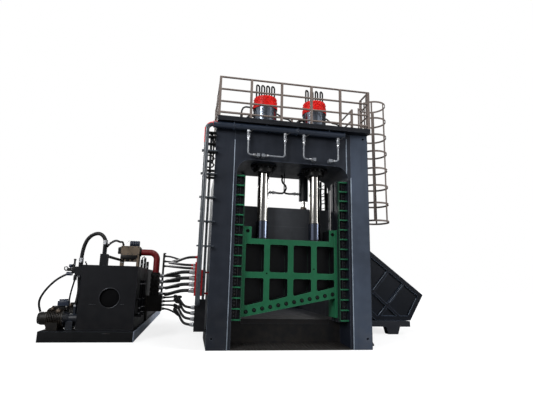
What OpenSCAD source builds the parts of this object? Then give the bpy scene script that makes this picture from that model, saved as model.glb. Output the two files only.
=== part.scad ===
// Gantry shear for scrap: a portal frame with an inclined knife carriage, a clamp head, a feed
// trough with a pusher, a tilting charging tray and a hydraulic power station on its own skid.
// Origin: floor level, on the centreline, under the middle of the gantry bed.
// +X to the right seen from the discharge side, +Y towards the feed side, +Z up. Millimetres.

/* [Gantry] */
// Width over both columns
gantry_w = 4140; // [3900:10:4500]
// Depth of the gantry from front to back
gantry_d = 1900; // [1800:10:2200]
// Height to the top of the crosshead
gantry_h = 5620; // [5400:10:5900]
// Width of each outer column box
column_w = 490; // [420:10:560]
// Thickness of the jamb inside each column
jamb_t = 80; // [60:5:100]
// Height of the crosshead above the portal opening
beam_h = 930; // [860:10:1000]
// Radius of the upper corners of the portal opening
window_r = 350; // [200:10:400]
// Height of the bed above the floor
bed_h = 660; // [600:10:700]

/* [Knife carriage] */
// Distance of the carriage behind the front face
carriage_set = 250; // [230:5:280]
// Thickness of the carriage from front to back
carriage_d = 500; // [460:5:520]
// Width of each gib block beside the carriage
guide_w = 250; // [200:5:300]
// Height of the carriage's top edge
carriage_top = 2680; // [2600:10:2750]
// Height of the knife edge at its low end
edge_low = 730; // [715:5:760]
// Rise of the knife edge from its low to its high end
edge_rise = 510; // [460:5:560]
// Depth of the weight-saving pockets
pocket_d = 360; // [200:10:380]
// Corner radius of the pockets
pocket_r = 45; // [20:5:80]
// Width of the ribs between the pockets
pocket_rib = 145; // [120:5:170]
// Number of knife bolts along the edge
blade_bolts = 12; // [8:1:14]

/* [Main cylinders] */
// Distance of each main cylinder from the centreline
main_x = 720; // [680:5:740]
// Outside radius of the barrels
main_r = 330; // [320:5:350]
// Radius of the piston rods
main_rod_r = 145; // [120:5:170]
// Height of the barrel heads above the crosshead
main_rise = 1040; // [1030:10:1200]

/* [Clamp] */
// Height of the clamp head's lower face
clamp_bottom = 2000; // [1900:10:2200]
// Distance of each clamp cylinder from the centreline
clamp_x = 580; // [540:5:620]
// Outside radius of the clamp cylinders
clamp_barrel_r = 135; // [120:5:140]
// Radius of the clamp rods
clamp_rod_r = 65; // [50:5:75]

/* [Platform] */
// Height of the deck above the crosshead
fascia_h = 120; // [110:5:140]
// Overhang of the deck in front of the gantry
deck_over = 250; // [200:10:350]
// Height of the railings above the deck
rail_h = 1100; // [1000:10:1200]
// Size of the railing posts
post_w = 60; // [40:2:70]
// Diameter of the railing bars
rail_dia = 50; // [34:2:56]
// Number of posts along the front
front_posts = 6; // [4:1:8]
// Radius of the ladder cage hoops
cage_r = 390; // [350:10:420]
// Number of hoops on the ladder cage
cage_hoops = 8; // [5:1:10]

/* [Feed trough] */
// Length of the trough behind the gantry
trough_l = 5450; // [5400:10:6000]
// Height of the trough's left wall above the bed
trough_wall_h = 1740; // [1400:10:1900]
// Stroke of the pusher
push_stroke = 3900; // [3900:10:4000]
// Height of the pusher
pusher_h = 900; // [700:10:950]

/* [Charging tray] */
// Length of the tray along the trough
tray_l = 3600; // [3560:10:3640]
// Distance of the tray hinge from the centreline
hinge_x = 2250; // [2200:5:2300]
// Height of the tray hinge
hinge_z = 1700; // [1660:5:1740]
// Depth of the tray, square to its floor
tray_h = 1810; // [1600:10:1900]
// Length of the tray's rim
tray_rim = 2753; // [2600:10:2800]

/* [Power station] */
// Width of the skid
skid_w = 2295; // [2250:10:2600]
// Length of the skid
skid_l = 9350; // [9000:10:9600]
// Height of the skid
skid_h = 260; // [200:10:300]
// Width of the oil tank
tank_w = 1420; // [1350:10:1450]
// Length of the oil tank
tank_l = 7000; // [6600:10:7400]
// Height of the oil tank
tank_h = 1670; // [1500:10:1750]
// Number of motor and pump sets
pump_sets = 4; // [2:1:4]

/* [Hidden] */
$fn = 48;

// Colours
slate = [0.20, 0.23, 0.28];
slate_light = [0.30, 0.34, 0.40];
green = [0.18, 0.49, 0.34];
taupe = [0.47, 0.42, 0.40];
bright_red = [0.84, 0.14, 0.10];
dark_red = [0.50, 0.08, 0.10];
steel = [0.78, 0.79, 0.80];
iron = [0.16, 0.16, 0.17];
rubber = [0.06, 0.06, 0.07];
tan_paint = [0.49, 0.44, 0.38];
blue_paint = [0.12, 0.30, 0.50];

// Common clearances
cut = 2;
run_gap = 0.3;
shaft_gap = 0.05;

// Places shared by the gantry's pieces
half_w = gantry_w / 2;
inner_x = half_w - column_w;
jamb_x = inner_x - jamb_t;
front_y = -gantry_d / 2;
back_y = gantry_d / 2;
window_top = gantry_h - beam_h;
haunch_z = window_top - window_r;
beam_back_in = 280;
carriage_half = jamb_x - guide_w;
carriage_y = front_y + carriage_set;
knife_y = carriage_y + carriage_d;
knife_gap = 0.5;

// Column details
column_notch_h = 1370;
column_notch = 90;
front_plate_t = 60;
jamb_recess = 12;
face_hole_r = 32;
face_hole_d = 80;
face_hole_in = 122;
face_hole_up = 260;
face_hole_down = 100;

// Knives
blade_t = 60;
blade_h = 120;
blade_end_in = 70;
blade_half = carriage_half - blade_end_in;
blade_end_gap = 4;

// Discharge plate
chute_back_z = 70;
chute_front_z = 20;

// Guides beside the carriage
guide_front = 200;
guide_back = 700;
guide_low = 640;
rib_low = 683;
rib_top_in = 59;
rib_count = 15;
rib_pitch = (haunch_z - rib_top_in - rib_low) / (rib_count - 1);
rib_t = 30;
rib_d = 100;
rib_strip = 18;
rib_corner_r = 60;
tongue_w = 80;
tongue_y0 = 150;
tongue_y1 = 300;

// Clamp head and its wear plates
clamp_front = 50;
clamp_depth = 560;
clamp_side_gap = 290;
clamp_half = jamb_x - clamp_side_gap;
clamp_lip = 20;
clamp_lip_down = 520;
clamp_shoe_down = 720;
clamp_shoe_in = 40;
wear_t = 30;
wear_front = 720;
wear_d = 680;
wear_foot_gap = 20;
wear_low = bed_h + wear_foot_gap;
wear_top = haunch_z;
wear_hole_r = 14;
wear_rows = 8;
wear_row_down = 1140;
wear_row_pitch = 140;
wear_col = 200;
clamp_axis_share = 0.625;
clamp_y = knife_y + clamp_front + clamp_depth * clamp_axis_share;
clamp_barrel_l = 770;
clamp_barrel_low = window_top - clamp_barrel_l;
clamp_up = 180;
clamp_top_gap = 120;
clamp_top = clamp_barrel_low - clamp_up - clamp_top_gap;
clamp_flange_r = 190;
clamp_flange_t = 40;
clamp_barrel_out = 120;
clamp_barrel_top = gantry_h + fascia_h + clamp_barrel_out;
clamp_bore_r = 100;
clamp_nose_l = 100;
clamp_bore_low = clamp_barrel_low + clamp_nose_l;
clamp_cap_t = 60;
clamp_bore_top = clamp_barrel_top - clamp_cap_t;
clamp_piston_h = 120;
piston_gap = 20;
clamp_piston_low = clamp_bore_top - clamp_up - piston_gap - clamp_piston_h;
clamp_bore_gap = 5;
clamp_port_r = 28;
clamp_port_l = 105;
clamp_port_up = 200;
clamp_port_z = clamp_barrel_low + clamp_port_up;
clamp_hose_r = 16;
clamp_hose_turn = 70;

// Main cylinders
main_in = 550;
main_y = front_y + main_in;
main_bore_r = 265;
main_plug_gap = 20;
main_low = window_top + main_plug_gap;
main_top = gantry_h + main_rise;
main_cap_t = 60;
main_bore_top = main_top - main_cap_t;
main_bore_gap = 5;
main_flange_r = 410;
main_flange_t = 80;
main_band_down = 330;
main_band_h = 120;
main_band_low = main_top - main_band_down;
main_band_top = main_band_low + main_band_h;
main_band_out = 16;
head_in = 12;
head_stud_r = 18;
head_stud_h = 38;
head_studs = 16;
head_rows = 3;
head_row_up = 40;
head_row_pitch = 60;
gland_r = 270;
gland_h = 190;
gland_low = window_top - gland_h;
gland_flange_r = 360;
gland_flange_t = 50;
knife_down = 620;
piston_h = 140;
piston_low = main_low + gland_flange_t + piston_gap + knife_down;
sleeve_r = 165;
sleeve_h = 490;
sleeve_top = carriage_top + sleeve_h;
sleeve_ring_r = 172;
sleeve_ring_t = 20;
rod_flange_r = 195;
rod_flange_gap = 1;
rod_flange_t = 45;
loop_count = 4;
loop_pitch = 145;
loop_half = 60;
loop_r = 23;
loop_leg = 370;
loop_turn = 40;
port_pipe_r = 40;
port_pipe_up = 410;
port_pipe_bend = 200;

// Carriage details
ear_w = 150;
ear_h = 305;
ear_top = carriage_top + ear_h;
ear_hole_r = 26;
ear_hole_in = 55;
ear_hole_down = 115;
side_rim = 78;
top_rim = 135;
mid_rib_z = 1767;
mid_rib_h = 150;
edge_band = 270;
bolt_up = 110;
bolt_head_r = 34;
bolt_head_h = 14;
bolt_end_in = 130;
shoe_t = 60;
shoe_proud = 20;

// Anchor feet
foot_w = 330;
foot_d = 260;
foot_t = 40;
foot_h = 480;
foot_gusset_t = 30;
foot_set = 750;
foot_hole_r = 24;
foot_hole_in = 110;
foot_hole_pitch = 130;
rear_foot_d = 260;
rear_foot_hole_pitch = 280;

// Platform, ladder and cage
deck_back_over = 100;
deck_side_in = 5;
deck_z = gantry_h + fascia_h;
flange_gap = 5;
deck_hole_gap = 15;
rail_mid_1 = 737;
rail_mid_2 = 400;
rail_low = 95;
rail_in = 30;
side_posts = 3;
gate_half = 300;
ladder_in = 620;
ladder_y = front_y + ladder_in;
ladder_off = 130;
ladder_half = 210;
stile_r = 20;
rung_r = 13;
rung_pitch = 280;
rung_low = 620;
ladder_low = 520;
ladder_clip_pitch = 1100;
ladder_clip_low = 700;
clip_t = 20;
cage_low = 3300;
cage_in_share = 0.85;
cage_bar_t = 12;
cage_hoop_h = 50;
cage_strips = 5;
cage_strip_w = 45;

// Pipes on the front and on the left column
header_r = 85;
header_down = 96;
header_z = gantry_h - header_down;
header_off = 120;
header_right = 1330;
header_cap_t = 30;
header_cap_r = 95;
header_hanger_t = 20;
header_hangers = 4;
riser_r = 58;
riser_x = 2318;
riser_foot_bend = 90;
riser_bend = 150;
black_riser_r = 32;
black_riser_x = 2190;
black_riser_in = 60;
riser_foot_z = 1050;
black_riser_down = 320;
black_riser_top = gantry_h - black_riser_down;
riser_clamp_t = 26;
riser_clamp_count = 5;
riser_clamp_low = 2400;
riser_clamp_down = 574;
riser_clamp_pitch = (header_z - riser_bend - riser_clamp_down - riser_clamp_low) / (riser_clamp_count - 1);
riser_clamp_out = 40;
branch_r = 22;
branch_valve_r = 42;
branch_valve_h = 180;
branch_bend = 80;
branch_port_w = 80;
branch_port_up = 100;
branch_port_z = window_top + branch_port_up;
branch_shares = [-0.604, -0.135, 0.111, 0.570];
branch_port_shares = [-0.476, -0.411, 0.251, 0.464];

// Manifolds on the left column
manifold_right = 2150;
manifold_w = 260;
manifold_ledge_w = 130;
manifold_in = 110;
manifold_y = front_y + manifold_in;
manifold_d = 200;
port_in = 40;
manifold_low = 1230;
manifold_top = 2030;
manifold_ledge_z = 1850;
manifold_bracket_t = 40;
manifold_port_low = 1355;
manifold_port_pitch = 145;
ferrule_r = 52;
ferrule_l = 130;
lower_in = 30;
lower_y = front_y + lower_in;
lower_left = 2370;
lower_w = 250;
lower_low = 450;
lower_top = 1150;
lower_foot_t = 50;
lower_foot_z = 420;
lower_port_low = 566;
lower_port_pitch = 131;
hose_rows = 4;
small_ferrule_r = 40;
small_ferrule_l = 90;
top_port_low = 1880;
top_port_pitch = 75;
stub_z = 2150;
stub_r = 40;
stub_l = 10;

// Feed trough and its pusher
trough_floor_t = 100;
trough_wall_t = 60;
trough_rib_t = 50;
trough_rib_w = 240;
trough_rib_pitch = 900;
trough_apron_z = 1180;
trough_apron_top_z = 1600;
trough_apron_x = 2120;
trough_base_w = 200;
trough_end_t = 150;
pusher_d = 900;
pusher_gap = 12;
pusher_back = 200;
pusher_rib_t = 60;
push_rod_r = 90;
push_barrel_r = 160;
push_bore_r = 125;
push_z = 1130;
push_spare = 700;
push_barrel_l = push_stroke + push_spare;
push_barrel_cap = 110;
push_piston_l = 180;
push_flange_r = 230;
push_flange_t = 60;
cradle_beam_w = 160;
cradle_beam_h = 240;
cradle_half = 420;
saddle_t = 120;
saddle_half = 240;
saddle_count = 3;

// Charging tray
trough_back = back_y + trough_l;
tray_in = 1400;
tray_front = back_y + tray_in;
tray_slope = 40.6;
tray_end_t = 70;
tray_rib_t = 50;
tray_floor_t = 60;
tray_start = 230;
tray_inner_t0 = 200;
tray_rim_drop = 160;
tray_floor_l = 1967;
tray_corner_s = 2928;
tray_corner_t = (tray_corner_s - tray_floor_l) * tan(tray_slope);
tray_frame_w = 150;
tray_rib_w = 90;
tray_rib_shares = [0.45, 0.70];
tray_mid_share = 0.335;
tray_knuckle_r = 110;
tray_pin_r = 50;
tray_knuckle_l = 200;
tray_knuckle_gap = 1;
tray_knuckles = 3;
hinge_in = 500;
post_leg_w = 80;
base_beam_low = 240;
base_beam_top = hinge_z - tray_floor_l * sin(tray_slope) - run_gap;
base_beam_d = 260;
sill_w = 100;
bed_rail_x = 3800;
bed_rail_pitch = 860;
bed_rail_w = 160;
base_right = 4840;
base_foot_x = 3980;
base_foot_w = 490;
base_foot_pad = 345;
lift_foot_x = 2800;
lift_foot_z = 520;
lift_eye_x = 2900;
lift_eye_z = 1700;
lift_barrel_r = 70;
lift_bore_r = 56;
lift_rod_r = 38;
lift_barrel_l = 1010;
lift_bore_start = 130;
lift_neck_r = 36;
lift_neck_l = 90;
lift_piston_l = 50;
lift_eye_r = 75;
lift_eye_t = 80;
lift_pin_r = 40;
lift_plate_t = 30;
lift_plate_r = 150;
lift_plate_gap = 8;
lift_off = 135;
lift_boss_r = 130;
lift_boss_gap = 1;

// Power station
skid_right = -3860;
skid_in = 1320;
skid_y = front_y + skid_in;
skid_beam_w = 120;
skid_deck_t = 20;
skid_cross = 6;
tank_right_in = 70;
tank_set = 280;
manhole_r = 250;
manhole_z = 1085;
manhole_in = 50;
manhole_off = 50;
manhole_ring = 16;
manhole_ring_t = 12;
motor_r = 255;
motor_z = 530;
motor_body_l = 380;
motor_left = -6355;
motor_cowl_l = 225;
motor_cowl_r = 170;
motor_cowl_end_r = 140;
motor_flange_r = 270;
motor_flange_t = 30;
motor_fin_t = 16;
motor_fins = 9;
motor_foot_w = 110;
motor_foot_half = 230;
motor_box = 180;
motor_box_h = 130;
motor_in = 580;
motor_y = skid_y + motor_in;
motor_pitch = 1650;
bell_l = 130;
bell_r = 190;
pump_r = 120;
pump_l = 210;
pump_port_r = 48;
pump_port_h = 300;
block_left = -4850;
block_w = 590;
block_low = 2370;
block_h = 300;
block_y = 3250;
block_d = 420;
block_leg = 70;
solenoid_r = 42;
solenoid_h = 90;
solenoids = 4;
knob_r = 60;
knob_l = 110;
stack_left = -3830;
stack_w = 290;
stack_y = 3320;
stack_d = 300;
stack_low = 1060;
stack_slab = 116;
stack_gap = 34;
stack_slabs = 5;
stack_gap_in = 18;
stack_port_in = 130;
stack_riser_in = 255;
stack_base_left = -3925;
stack_base_w = 505;
stack_base_low = 560;
stack_port_low = 1126;
stack_port_pitch = 198;
stack_low_port = 640;
stack_low_pitch = 122;
stack_riser_r = 35;
stack_riser_x = -3460;
stack_riser_top = 2460;
red_pipe_r = 105;
red_pipe_bend = 230;
red_flange_r = 140;
red_flange_t = 40;
red_pipe_z = 2485;
tower_w = 190;
tower_d = 200;
tower_left = -4955;
tower_y = 750;
tower_h = 310;
cross_pipe_r = 40;
cross_pipe_z = 2195;
cross_pipe_share = 0.65;
arch_socket_r = 56;
corner_block_w = 220;
corner_block_h = 235;
corner_block_low = 1650;
side_pipe_low = 620;
side_pipe_h = 1560;
side_pipe_off = 75;
side_pipe_in = 400;
side_pipe_pitch = 650;
side_pipe_r = 26;
side_pipes = 2;
side_flange_t = 40;

// Routes of the free hoses, from the power station to the gantry
hose_sides = 8;
big_hose_r = 42;
small_hose_r = 30;
arch_hose_r = 50;
function upper_route(z) = [[-3395, 3575, z[0]], [-3310, 3575, z[0]], [-3080, 3420, z[1]], [-2960, 2100, z[2]],
  [-2830, -450, z[3]], [-2620, -800, z[4]], [-2500, -800, z[4]]];
function big_route(z) = [[-3410, 3450, z[0]], [-3310, 3450, z[0]], [-3080, 3300, z[1]], [-2980, 2000, z[2]],
  [-2890, -450, z[3]], [-2660, -800, z[4]], [-2540, -800, z[4]]];
function low_route(z) = [[-3330, 3450, z[0]], [-3240, 3450, z[0]], [-3030, 3320, z[1]], [-2860, 1800, z[2]],
  [-2700, -450, z[3]], [-2560, -800, z[4]], [-2460, -800, z[4]]];
route_a = [[-3395, 3575, 2390], [-3310, 3575, 2390], [-3080, 3420, 2330], [-2940, 2100, 2190],
  [-2780, -420, 2090], [-2550, -800, 2150], [-2420, -800, 2150]];
route_b = upper_route([2210, 2170, 2085, 1985, 1955]);
route_c = upper_route([2050, 2030, 1980, 1905, 1880]);
route_d = big_route([1720, 1720, 1725, 1755, 1790]);
route_e = big_route([1522, 1545, 1575, 1605, 1645]);
route_f = big_route([1324, 1355, 1400, 1445, 1500]);
route_g = big_route([1126, 1165, 1220, 1290, 1355]);
route_h = low_route([1006, 1040, 1060, 1070, 959]);
route_i = low_route([884, 905, 935, 975, 828]);
route_j = low_route([762, 760, 770, 825, 697]);
route_k = low_route([640, 560, 605, 700, 566]);
route_arch = [[-5470, 950, 2030], [-5470, 950, 2250], [-5400, 935, 2530], [-5270, 910, 2730], [-5120, 885, 2790],
  [-4960, 865, 2750], [-4870, 850, 2660], [-4870, 850, 2540]];

// Points of a tube: a ring square to the route at each of its points
function unit(v) = v / norm(v);
function tangent(p, i) = unit(p[min(i + 1, len(p) - 1)] - p[max(i - 1, 0)]);
function ring(c, t, s, r) = [for (k = [0 : hose_sides - 1])
  c + r * (cos(360 * k / hose_sides) * s + sin(360 * k / hose_sides) * cross(s, t))];
function tube_points(p, r, up) = [for (i = [0 : len(p) - 1])
  each ring(p[i], tangent(p, i), unit(cross(tangent(p, i), up)), r)];
function quad(i, k) = [i * hose_sides + k, i * hose_sides + (k + 1) % hose_sides,
  (i + 1) * hose_sides + (k + 1) % hose_sides, (i + 1) * hose_sides + k];
function wall_faces(n) = [for (i = [0 : n - 2], k = [0 : hose_sides - 1]) each
  [[quad(i, k)[2], quad(i, k)[1], quad(i, k)[0]], [quad(i, k)[3], quad(i, k)[2], quad(i, k)[0]]]];
function end_faces(n) = [for (k = [1 : hose_sides - 2]) each
  [[0, k, k + 1], [(n - 1) * hose_sides, (n - 1) * hose_sides + k + 1, (n - 1) * hose_sides + k]]];

module hose(route, r, up = [0, 0, 1]) {
  polyhedron(points = tube_points(route, r, up), faces = concat(wall_faces(len(route)), end_faces(len(route))));
}

// A box between two corners
module block(low, high) {
  translate(low) cube(high - low);
}

// A cylinder from a point along a direction
module rod(from, to, r) {
  d = to - from;
  length = norm(d);
  translate(from)
    rotate([0, acos(d[2] / length), atan2(d[1], d[0])])
      cylinder(r = r, h = length);
}

// A quarter bend in the XZ plane: starts at the origin going up and turns towards +X
module quarter_bend(bend, r) {
  translate([bend, 0, 0])
    rotate([90, 0, 0])
      rotate([0, 0, 90])
        rotate_extrude(angle = 90) translate([bend, 0]) circle(r = r);
}

// Both sides of a symmetric pair
module both_sides() {
  children();
  mirror([1, 0, 0]) children();
}

// Outline of one column, on the right-hand side
module column_body() {
  difference() {
    union() {
      block([inner_x, front_y, 0], [half_w, back_y, gantry_h]);
      block([jamb_x, front_y + jamb_recess, 0], [inner_x + cut, back_y, haunch_z]);
    }
    block([half_w - column_notch, front_y + front_plate_t, gantry_h - column_notch_h],
      [half_w + cut, back_y + cut, gantry_h + cut]);
    for (z = [face_hole_up, gantry_h - face_hole_down])
      translate([half_w - face_hole_in, front_y - cut, z])
        rotate([-90, 0, 0]) cylinder(r = face_hole_r, h = face_hole_d + cut);
  }
}

module left_column() {
  color(slate) mirror([1, 0, 0]) column_body();
}

module right_column() {
  color(slate_light) column_body();
}

// Crosshead: the haunches under it round the corners of the opening
module top_beam() {
  arc_x = jamb_x - window_r;
  color(slate) difference() {
    translate([0, back_y - beam_back_in, 0]) rotate([90, 0, 0])
      linear_extrude(height = gantry_d - beam_back_in) difference() {
      translate([-inner_x, haunch_z]) square([2 * inner_x, gantry_h - haunch_z]);
      translate([-arc_x, haunch_z - cut]) square([2 * arc_x, window_r + cut]);
      for (side = [-1, 1]) translate([side * arc_x, haunch_z]) circle(r = window_r);
    }
    for (side = [-1, 1]) {
      translate([side * main_x, main_y, window_top - cut])
        cylinder(r = main_r + main_bore_gap, h = gantry_h - window_top + 2 * cut);
      translate([side * clamp_x, clamp_y, window_top - cut])
        cylinder(r = clamp_barrel_r + clamp_bore_gap, h = gantry_h - window_top + 2 * cut);
    }
  }
}

// Bed with the seat of the fixed knife along its front upper edge
module bed_block() {
  bed_front = knife_y + knife_gap;
  color(slate) difference() {
    block([-jamb_x, bed_front, 0], [jamb_x, back_y, bed_h]);
    block([-blade_half - blade_end_gap, bed_front - cut, bed_h - blade_h],
      [blade_half + blade_end_gap, bed_front + blade_t, bed_h + cut]);
  }
}

module fixed_blade() {
  bed_front = knife_y + knife_gap;
  color(steel) block([-blade_half, bed_front, bed_h - blade_h], [blade_half, bed_front + blade_t, bed_h]);
}

// Sloping plate that the cut scrap slides out on
module discharge_plate() {
  color(taupe * 0.6) translate([jamb_x, 0, 0]) rotate([90, 0, -90]) linear_extrude(height = 2 * jamb_x)
    polygon([[-front_y, 0], [-front_y, chute_front_z], [-knife_y, chute_back_z], [-knife_y, 0]]);
}

// Gib block beside the carriage, with the groove that its tongue runs in
module guide_blocks() {
  color(iron) both_sides() {
    difference() {
      block([carriage_half + run_gap, front_y + guide_front, guide_low],
        [jamb_x, front_y + guide_back, haunch_z]);
      block([carriage_half, carriage_y + tongue_y0 - run_gap, guide_low - cut],
        [carriage_half + tongue_w + run_gap, carriage_y + tongue_y1 + run_gap, haunch_z + cut]);
    }
  }
}

// Ladder of stiffening ribs in front of each gib block
module guide_ribs() {
  rib_top = rib_low + (rib_count - 1) * rib_pitch;
  strip_x = carriage_half + 2 * rib_strip / 3;
  color(green) both_sides() translate([0, front_y + guide_front, 0]) rotate([90, 0, 0])
    linear_extrude(height = rib_d) {
      for (i = [0 : rib_count - 1])
        translate([strip_x, rib_low + i * rib_pitch - rib_t / 2]) square([jamb_x - strip_x, rib_t]);
      difference() {
        translate([strip_x, rib_low]) square([rib_corner_r, rib_top - rib_low + rib_t / 2]);
        translate([strip_x + rib_strip, rib_low - cut])
          square([rib_corner_r, rib_top - rib_low + cut - rib_corner_r + rib_strip]);
        translate([strip_x + rib_corner_r, rib_top + rib_t / 2 - rib_corner_r])
          circle(r = rib_corner_r - rib_strip);
      }
    }
}

// Bolted wear plates that the clamp head's shoes run on
module clamp_wear_plates() {
  mid_y = front_y + wear_front + wear_d / 2;
  color(steel) both_sides() difference() {
    block([jamb_x - wear_t, front_y + wear_front, wear_low], [jamb_x, front_y + wear_front + wear_d, wear_top]);
    for (i = [0 : wear_rows - 1], side = [-0.5, 0.5])
      translate([jamb_x - wear_t - cut, mid_y + side * wear_col * 2,
        wear_top - wear_row_down + i * wear_row_pitch])
        rotate([0, 90, 0]) cylinder(r = wear_hole_r, h = wear_t / 2 + cut);
  }
}

// Gusseted foot, drawn against a wall at x = 0 and running towards +X
module gusset_foot(width, depth, height, hole_pitch) {
  difference() {
    block([0, -depth / 2, 0], [width, depth / 2, foot_t]);
    for (side = [-0.5, 0.5])
      translate([width - foot_hole_in, side * hole_pitch, -cut]) cylinder(r = foot_hole_r, h = foot_t + 2 * cut);
  }
  for (y = [-depth / 2, -foot_gusset_t / 2, depth / 2 - foot_gusset_t])
    translate([0, y + foot_gusset_t, foot_t]) rotate([90, 0, 0]) linear_extrude(height = foot_gusset_t)
      polygon([[0, 0], [width, 0], [foot_gusset_t, height - foot_t], [0, height - foot_t]]);
}

module anchor_feet() {
  color(slate) {
    translate([half_w, front_y + foot_set, 0]) gusset_foot(foot_w, foot_d, foot_h, foot_hole_pitch);
    both_sides() translate([half_w - column_w / 2, back_y, 0]) rotate([0, 0, 90])
      gusset_foot(rear_foot_d, column_w, foot_h, rear_foot_hole_pitch);
  }
}

// Deck on top of the crosshead, overhanging in front
module platform_deck() {
  deck_half = half_w - deck_side_in;
  color(slate) difference() {
    block([-deck_half, front_y - deck_over, gantry_h], [deck_half, back_y + deck_back_over, deck_z]);
    for (side = [-1, 1]) {
      translate([side * main_x, main_y, gantry_h - cut]) {
        cylinder(r = main_r + deck_hole_gap, h = fascia_h + 2 * cut);
        cylinder(r = main_flange_r + flange_gap, h = main_flange_t + flange_gap + cut);
      }
      translate([side * clamp_x, clamp_y, gantry_h - cut])
        cylinder(r = clamp_barrel_r + deck_hole_gap, h = fascia_h + 2 * cut);
    }
  }
}

// One straight railing along +X between posts, standing on the deck at z = 0
module railing(length, posts) {
  for (i = [0 : posts - 1])
    translate([i * (length - post_w) / (posts - 1), -post_w / 2, 0])
      cube([post_w, post_w, rail_h - rail_dia / 2]);
  for (z = [rail_low, rail_mid_2, rail_mid_1, rail_h - rail_dia / 2])
    translate([0, 0, z]) rotate([0, 90, 0]) cylinder(r = rail_dia / 2, h = length);
}

module platform_railings() {
  deck_half = half_w - deck_side_in;
  deck_front = front_y - deck_over;
  deck_back = back_y + deck_back_over;
  long_l = 2 * deck_half;
  side_l = deck_back - deck_front - 2 * rail_in - 2 * post_w;
  gate_front = ladder_y - gate_half;
  gate_back = ladder_y + gate_half;
  side_start = deck_front + rail_in + post_w;
  color(taupe) {
    translate([-deck_half, deck_front + rail_in, deck_z]) railing(long_l, front_posts);
    translate([-deck_half, deck_back - rail_in, deck_z]) railing(long_l, front_posts);
    translate([-deck_half + rail_in, side_start, deck_z]) rotate([0, 0, 90]) railing(side_l, side_posts);
    translate([deck_half - rail_in, side_start, deck_z]) rotate([0, 0, 90])
      railing(gate_front - side_start, 2);
    translate([deck_half - rail_in, gate_back, deck_z]) rotate([0, 0, 90])
      railing(side_start + side_l - gate_back, 2);
  }
}

// Vertical ladder on the right-hand column
module ladder() {
  ladder_top = deck_z + rail_h;
  rungs = floor((deck_z - rung_low) / rung_pitch);
  stile_x = half_w + ladder_off;
  color(taupe) {
    for (side = [-1, 1])
      rod([stile_x, ladder_y + side * ladder_half, ladder_low],
        [stile_x, ladder_y + side * ladder_half, ladder_top], stile_r);
    for (i = [0 : rungs])
      rod([stile_x, ladder_y - ladder_half, rung_low + i * rung_pitch],
        [stile_x, ladder_y + ladder_half, rung_low + i * rung_pitch], rung_r);
    for (side = [-1, 1], z = [ladder_clip_low, ladder_clip_low + ladder_clip_pitch,
      ladder_clip_low + 2 * ladder_clip_pitch])
      block([half_w, ladder_y + side * ladder_half - clip_t / 2, z],
        [stile_x, ladder_y + side * ladder_half + clip_t / 2, z + 2 * clip_t]);
  }
}

// Safety cage: flat hoops open towards the ladder, joined by upright strips
module ladder_cage() {
  centre_x = half_w + ladder_off + cage_r * cage_in_share;
  pitch = (deck_z + rail_h - cage_low - cage_hoop_h) / (cage_hoops - 1);
  stile_angle = atan2(ladder_half, -cage_r * cage_in_share);
  open_angle = stile_angle - 2 * asin((stile_r + run_gap) / (2 * cage_r));
  color(taupe) translate([centre_x, ladder_y, 0]) {
    for (i = [0 : cage_hoops - 1])
      translate([0, 0, cage_low + i * pitch]) rotate([0, 0, -open_angle])
        rotate_extrude(angle = 2 * open_angle) translate([cage_r - cage_bar_t, 0])
          square([cage_bar_t, cage_hoop_h]);
    for (k = [0 : cage_strips - 1])
      rotate([0, 0, -open_angle + 2 * open_angle * (k + 0.5) / cage_strips])
        translate([cage_r - cage_bar_t * 1.4, -cage_strip_w / 2, cage_low])
          cube([cage_bar_t, cage_strip_w, pitch * (cage_hoops - 1) + cage_hoop_h]);
  }
}

// Main cylinder barrels, flanged on top of the crosshead
module main_barrels() {
  color(slate) for (side = [-1, 1]) translate([side * main_x, main_y, 0]) difference() {
    union() {
      translate([0, 0, main_low]) cylinder(r = main_r, h = main_band_low - main_low);
      translate([0, 0, gantry_h]) cylinder(r = main_flange_r, h = main_flange_t);
    }
    translate([0, 0, main_low - cut]) cylinder(r = main_bore_r, h = main_band_low - main_low + 2 * cut);
  }
}

// Red heads with rows of studs round them
module main_barrel_heads() {
  head_r = main_r - head_in;
  color(bright_red) for (side = [-1, 1]) translate([side * main_x, main_y, 0]) difference() {
    union() {
      translate([0, 0, main_band_low]) cylinder(r = main_r + main_band_out, h = main_band_top - main_band_low);
      translate([0, 0, main_band_top]) cylinder(r = head_r, h = main_top - main_band_top);
      for (k = [0 : head_studs - 1], row = [0 : head_rows - 1])
        rotate([0, 0, 360 * (k + row / 2) / head_studs])
          translate([head_r - head_stud_r, 0, main_band_top + head_row_up + row * head_row_pitch])
            rotate([0, 90, 0]) cylinder(r = head_stud_r, h = head_stud_h, $fn = 6);
    }
    translate([0, 0, main_band_low - cut]) cylinder(r = main_bore_r, h = main_bore_top - main_band_low + cut);
  }
}

// Hose loops on top of the heads, and the port pipes beside them
module head_hose_loops() {
  color(rubber) for (side = [-1, 1]) translate([side * main_x, main_y, 0]) {
    for (i = [0 : loop_count - 1])
      translate([(i - (loop_count - 1) / 2) * loop_pitch, 0, main_top]) rotate([0, 0, loop_turn]) {
        for (leg = [-1, 1]) translate([leg * loop_half, 0, 0]) cylinder(r = loop_r, h = loop_leg);
        translate([0, 0, loop_leg]) rotate([90, 0, 0])
          rotate_extrude(angle = 180) translate([loop_half, 0]) circle(r = loop_r);
      }
    translate([-main_r - port_pipe_bend, 0, deck_z])
      cylinder(r = port_pipe_r, h = port_pipe_up - port_pipe_bend);
    translate([-main_r - port_pipe_bend, 0, deck_z + port_pipe_up - port_pipe_bend])
      quarter_bend(port_pipe_bend, port_pipe_r);
  }
}

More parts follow.
